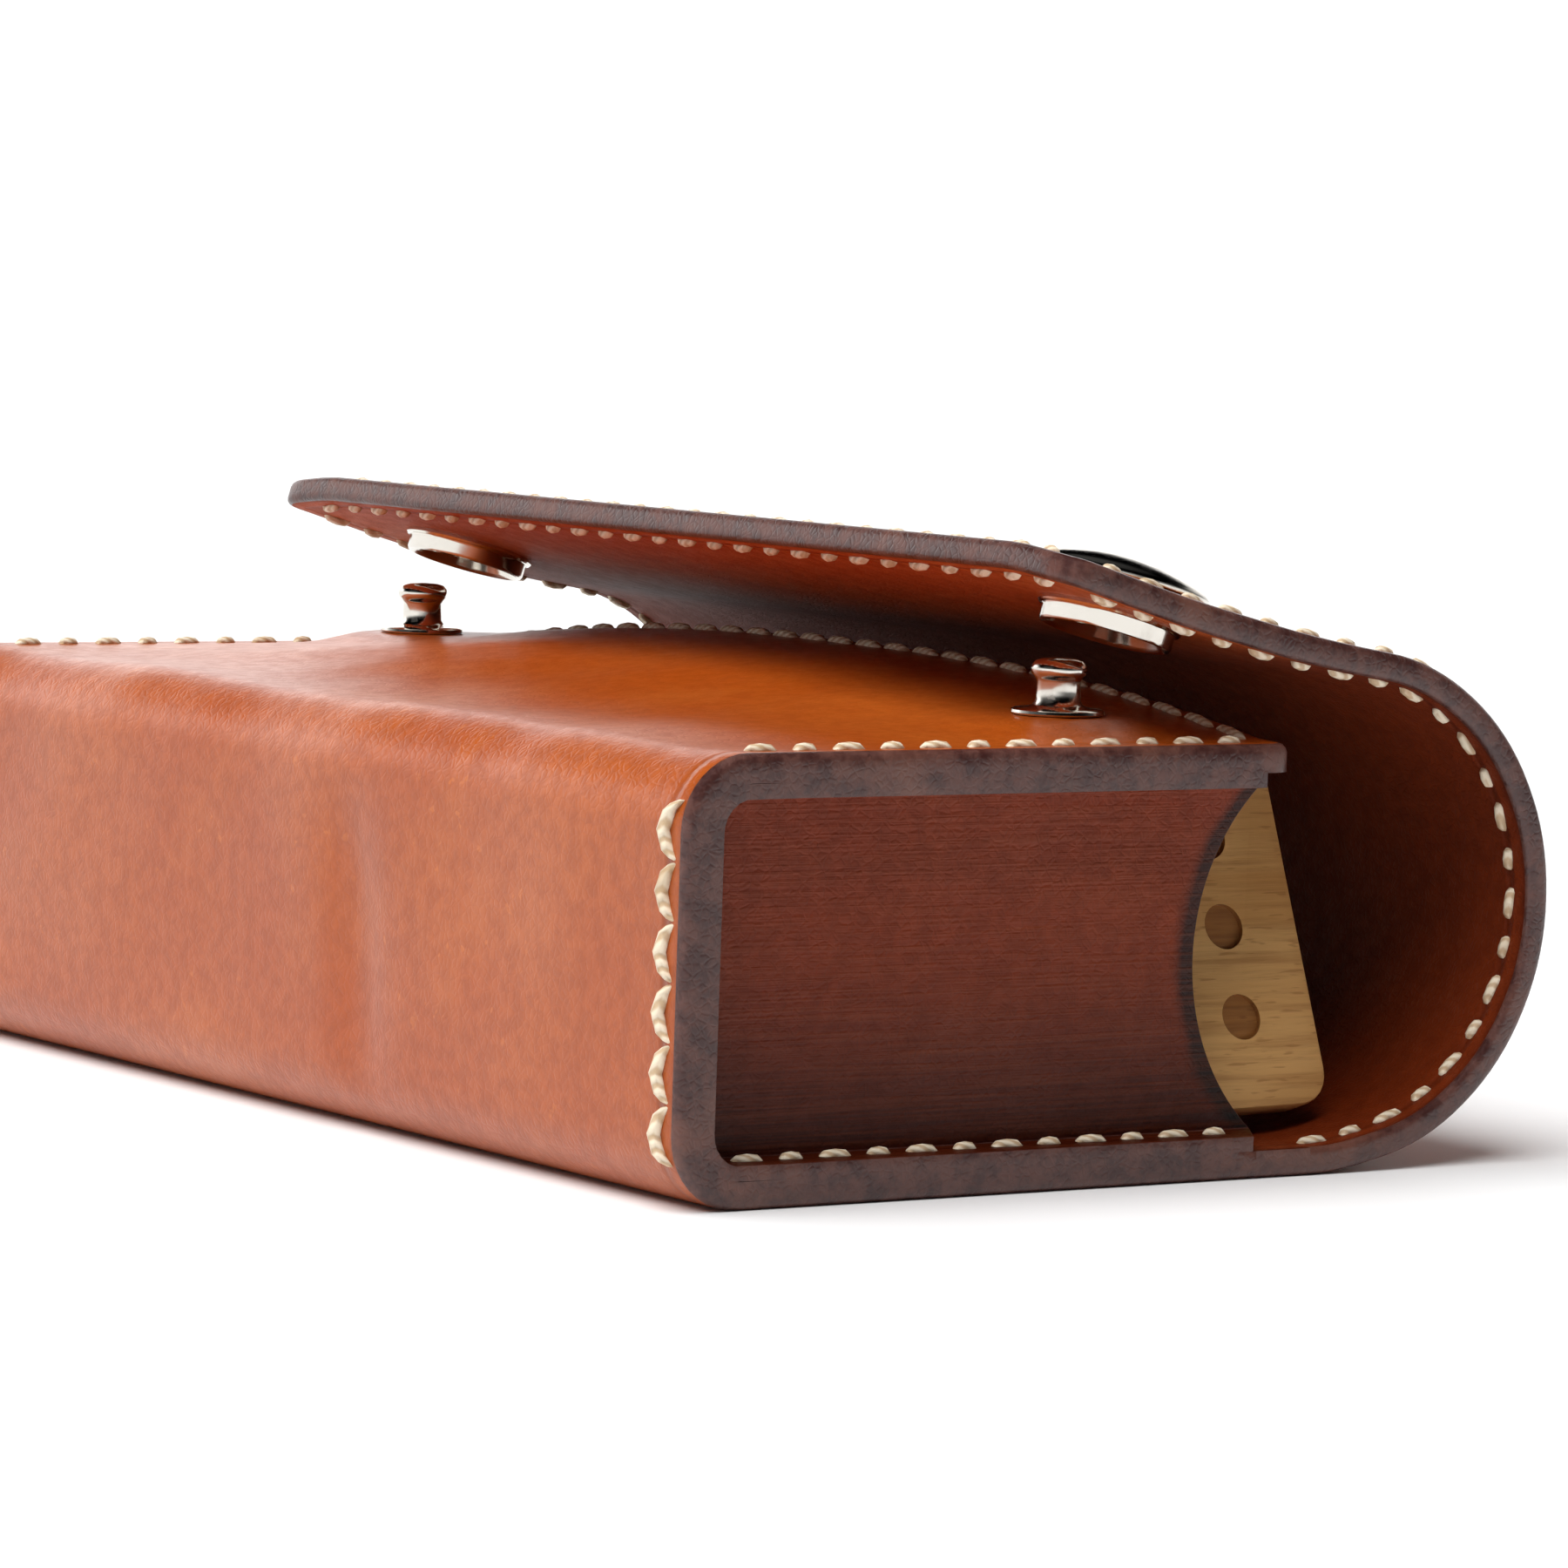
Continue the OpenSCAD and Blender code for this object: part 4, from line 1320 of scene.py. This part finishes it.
# %% Thread
thread, t, shader, spot = new_material("waxed_thread")
twist = add(t, "ShaderNodeTexWave", {"wave_type": "BANDS", "bands_direction": "DIAGONAL"},
            Vector=spot, Scale=600.0, Distortion=0.6)
strands = twist.outputs["Fac"]
fuzz = noise(t, spot, 5200.0, 3.0)
soiled = use(t, wear_group, Vector=spot, Scale=90.0, Amount=0.55)
tone = mix(t, spread_to(t, strands, 0.0, 0.7), color("C8A67C"), color("F3E3C8"))
tone = tint(t, tone, fuzz, 0.3, color("F7EFDD"))
tone = mix(t, soiled["Rubbed"], tone, color("B08D62"))
rough = math(t, "MULTIPLY_ADD", fuzz, 0.25, 0.42)
surface(t, shader, tone, rough, 0.09, math(t, "MULTIPLY_ADD", fuzz, 0.35, strands))
print("thread:", thread.name)

# %% [markdown]
# ## Nickel
# The snaps are bright nickel plate. Polished metal needs little more than low roughness, but faint
# handling marks and a slow waviness of the pressed sheet keep it from looking like a mirror.

# %% Nickel
nickel, t, shader, spot = new_material("bright_nickel")
marks = use(t, wear_group, Vector=spot, Scale=220.0, Amount=0.8)
plate = tint(t, color("E4DFD6"), marks["Rubbed"], 0.4, color("B9B1A6"))
rough = math(t, "MULTIPLY_ADD", marks["Scratches"], 0.2, 0.13)
rough = math(t, "MULTIPLY_ADD", marks["Rubbed"], 0.14, rough)
surface(t, shader, plate, rough, 0.04, noise(t, spot, 260.0, 3.0))
shader.inputs["Metallic"].default_value = 1.0
print("nickel:", nickel.name)

# %% [markdown]
# ## Pale wood
# The tiles are pale maple, with fine darker fibres along the length and short flecks. The grain runs
# along each tile, so the coordinates are squeezed along X. The pips are the same wood, scorched darker.

# %% Wood and pips
def wood_finish(name, pale, dark, fibre):
    material, t, shader, spot = new_material(name)
    fibres = noise(t, squeezed(t, spot, (60, 1300, 1300)), 1.0, 5.0, 0.65)
    rings = noise(t, squeezed(t, spot, (14, 190, 190)), 1.0, 3.0, distortion=0.4)
    flecks = noise(t, squeezed(t, spot, (450, 3600, 3600)), 1.0, 1.0)
    tone = mix(t, spread_to(t, rings, 0.3, 0.7), color(pale), color(dark))
    tone = tint(t, tone, spread_to(t, fibres, 0.42, 0.7), 0.55, color(fibre))
    tone = tint(t, tone, spread_to(t, flecks, 0.62, 0.72), 0.5, color(fibre))
    surface(t, shader, tone, math(t, "MULTIPLY_ADD", fibres, 0.2, 0.45), 0.05, fibres)
    return material


wood = wood_finish("pale_maple", "DDAC6C", "C68C4C", "A06A36")
scorched = wood_finish("scorched_pips", "A8703A", "8E5A2C", "6E4420")
print("woods:", wood.name, scorched.name)

# %% [markdown]
# ## Dressing the pieces
# Each piece gets its face material in slot 0, and the leather ones the burnished edge in slot 1. The
# pulled tile has the scorched wood there, for its pips. The two rivets stay the CAD's own shape, and
# only take the nickel.

# %% Assigning materials
def dress(piece, *materials):
    """Fills the slots in order. Slots past the last material get that one too."""
    slots = piece.data.materials
    while len(slots) < len(materials):
        slots.append(None)
    for i in range(len(slots)):
        slots[i] = materials[min(i, len(materials) - 1)]


dress(wrap, grain_side, cut_edge)
dress(wrap_lining, inner_side, cut_edge)
for pieces in flap_parts.values():
    dress(pieces[0], grain_side, cut_edge)
    dress(pieces[1], flap_side, cut_edge)
for piece in walls:
    dress(piece, wall_side, cut_edge)
dress(tiles, wood)
dress(first, wood, scorched)
for piece in metal:
    dress(piece, nickel)
for piece in bpy.data.objects:
    if piece.type == "MESH" and piece.name.endswith(("_seam", "_seams")):
        dress(piece, thread)
for label in SIDES:
    for slot in bpy.data.objects[label + "_stud_rivet"].material_slots:
        slot.material = nickel

# %% [markdown]
# ## The table
# The case lies on a white table, wide enough to fill the view at every angle. A faint noise keeps it
# from being one flat colour. It is stage, so it isn't part of the object.

# %% Floor
floor = fresh(bpy.ops.mesh.primitive_plane_add, "floor", size=6)
floor_paint, t, shader, spot = new_material("white_table")
t.links.new(mix(t, noise(t, spot, 40.0, 2.0), color("F2F2F2"), color("F6F6F6")), shader.inputs["Base Color"])
shader.inputs["Roughness"].default_value = 0.7
dress(floor, floor_paint)
print("table:", round(floor.dimensions.x), "m wide")

# %% [markdown]
# ## The light tent
# Around the table stands a white tent. Its wall is a bright band just above the horizon, brighter and
# higher behind the case, and dim on the near side of the mouth. Waxed leather mirrors it as a pale sheen
# when it is seen along its surface. Overhead there is a weaker patch. The kind of ray decides what it
# meets: the camera sees plain white, matt surfaces get a quarter of the wall's light, and reflections a
# tenth of the patch overhead, so that they show the wall and not the roof.

# %% World light
studio = bpy.data.worlds.new("studio")
bpy.context.scene.world = studio
studio.use_nodes = True
t = studio.node_tree
sky = add(t, "ShaderNodeTexCoord").outputs["Generated"]
height = add(t, "ShaderNodeSeparateXYZ", Vector=sky).outputs["Z"]
paths = add(t, "ShaderNodeLightPath").outputs


def toward(way):
    """How far a ray looks this way: 1 straight along it, and -1 away from it."""
    return add(t, "ShaderNodeVectorMath", {"operation": "DOT_PRODUCT"}, i0=sky, i1=way).outputs["Value"]


def dimmed(light, ray_kind, loss):
    """Takes away this share of the light for one kind of ray."""
    return math(t, "MULTIPLY", light, math(t, "MULTIPLY_ADD", paths[ray_kind], -loss, 1.0))


band = spread_to(t, height, 0.12, 0.3, 1.2, 0.0)
brighter, top = spread_to(t, height, 0.08, 0.26, 1.2, 2.2), spread_to(t, height, 0.34, 0.5, 1.0, 0.0)
behind = spread_to(t, toward((0.56, 0.83, 0.0)), 0.1, 0.5)
backdrop = math(t, "MULTIPLY", behind, math(t, "MULTIPLY", brighter, top))
tent_wall = dimmed(math(t, "MAXIMUM", band, backdrop), "Is Diffuse Ray", 0.75)
roof = dimmed(spread_to(t, height, 0.72, 0.95, 0.0, 0.5), "Is Glossy Ray", 0.9)
lit_side = spread_to(t, toward((-0.64, 0.77, 0.0)), -0.9, 0.3, 0.12, 1.0)
glow = math(t, "MULTIPLY", math(t, "ADD", tent_wall, roof), lit_side)
background = t.nodes["Background"]
t.links.new(math(t, "MAXIMUM", glow, paths["Is Camera Ray"]), background.inputs["Strength"])
background.inputs["Color"].default_value = (1, 1, 1, 1)
print("tent:", len(t.nodes), "nodes")

# %% [markdown]
# ## The lamps
# The light through the tent's roof is a sun lamp as wide as 60 degrees, which leans toward the closed
# end. It is kept out of reflections, because the tent's wall is what leather and metal should mirror. A
# large weak panel before the closed end softens its shade.

# %% Lamps
def light(name, kind, energy, place):
    lamp = bpy.data.lights.new(name, kind)
    lamp.energy = energy
    holder = bpy.data.objects.new(name, lamp)
    bpy.context.scene.collection.objects.link(holder)
    holder.matrix_world = place
    return holder


PANEL_AT, SUN_WIDTH = Vector((-0.8, -0.1, 0.35)), radians(60)
to_case = (Vector((0, 0, 0.01)) - PANEL_AT).to_track_quat("-Z", "Y").to_matrix().to_4x4()
end_panel = light("end_panel", "AREA", 0.05, Matrix.Translation(PANEL_AT) @ to_case)
end_panel.data.shape, end_panel.data.size, end_panel.data.size_y = "RECTANGLE", 0.6, 0.5
slant = Matrix.Rotation(radians(3), 4, "X") @ Matrix.Rotation(radians(-25), 4, "Y")
roof_light = light("tent_roof", "SUN", 4.1, slant)
roof_light.data.angle = SUN_WIDTH
roof_light.visible_glossy = False
bpy.context.scene.view_settings.view_transform = "Standard"

# %% [markdown]
# ## The camera
# The camera stands low and close to the table, off the corner where the closed end meets the near wall,
# with a long lens. Its turn is built up from the heading, the tilt and a slight roll.

# %% Camera
LENS, HEADING, TILT, ROLL = 154.76, -34.07, 85.4, 1.92
CAMERA_AT = (-0.25574, -0.40468, 0.06149)
lens = bpy.data.cameras.new("camera")
camera = bpy.data.objects.new("camera", lens)
bpy.context.scene.collection.objects.link(camera)
lens.lens, lens.sensor_width, lens.clip_start = LENS, 36, 0.01
turn = (Matrix.Rotation(radians(HEADING), 4, "Z") @ Matrix.Rotation(radians(TILT), 4, "X")
        @ Matrix.Rotation(radians(ROLL), 4, "Z"))
camera.matrix_world = Matrix.Translation(CAMERA_AT) @ turn
bpy.context.scene.camera = camera
print("camera:", [round(v, 3) for v in camera.location], "m, lens", round(lens.lens), "mm")
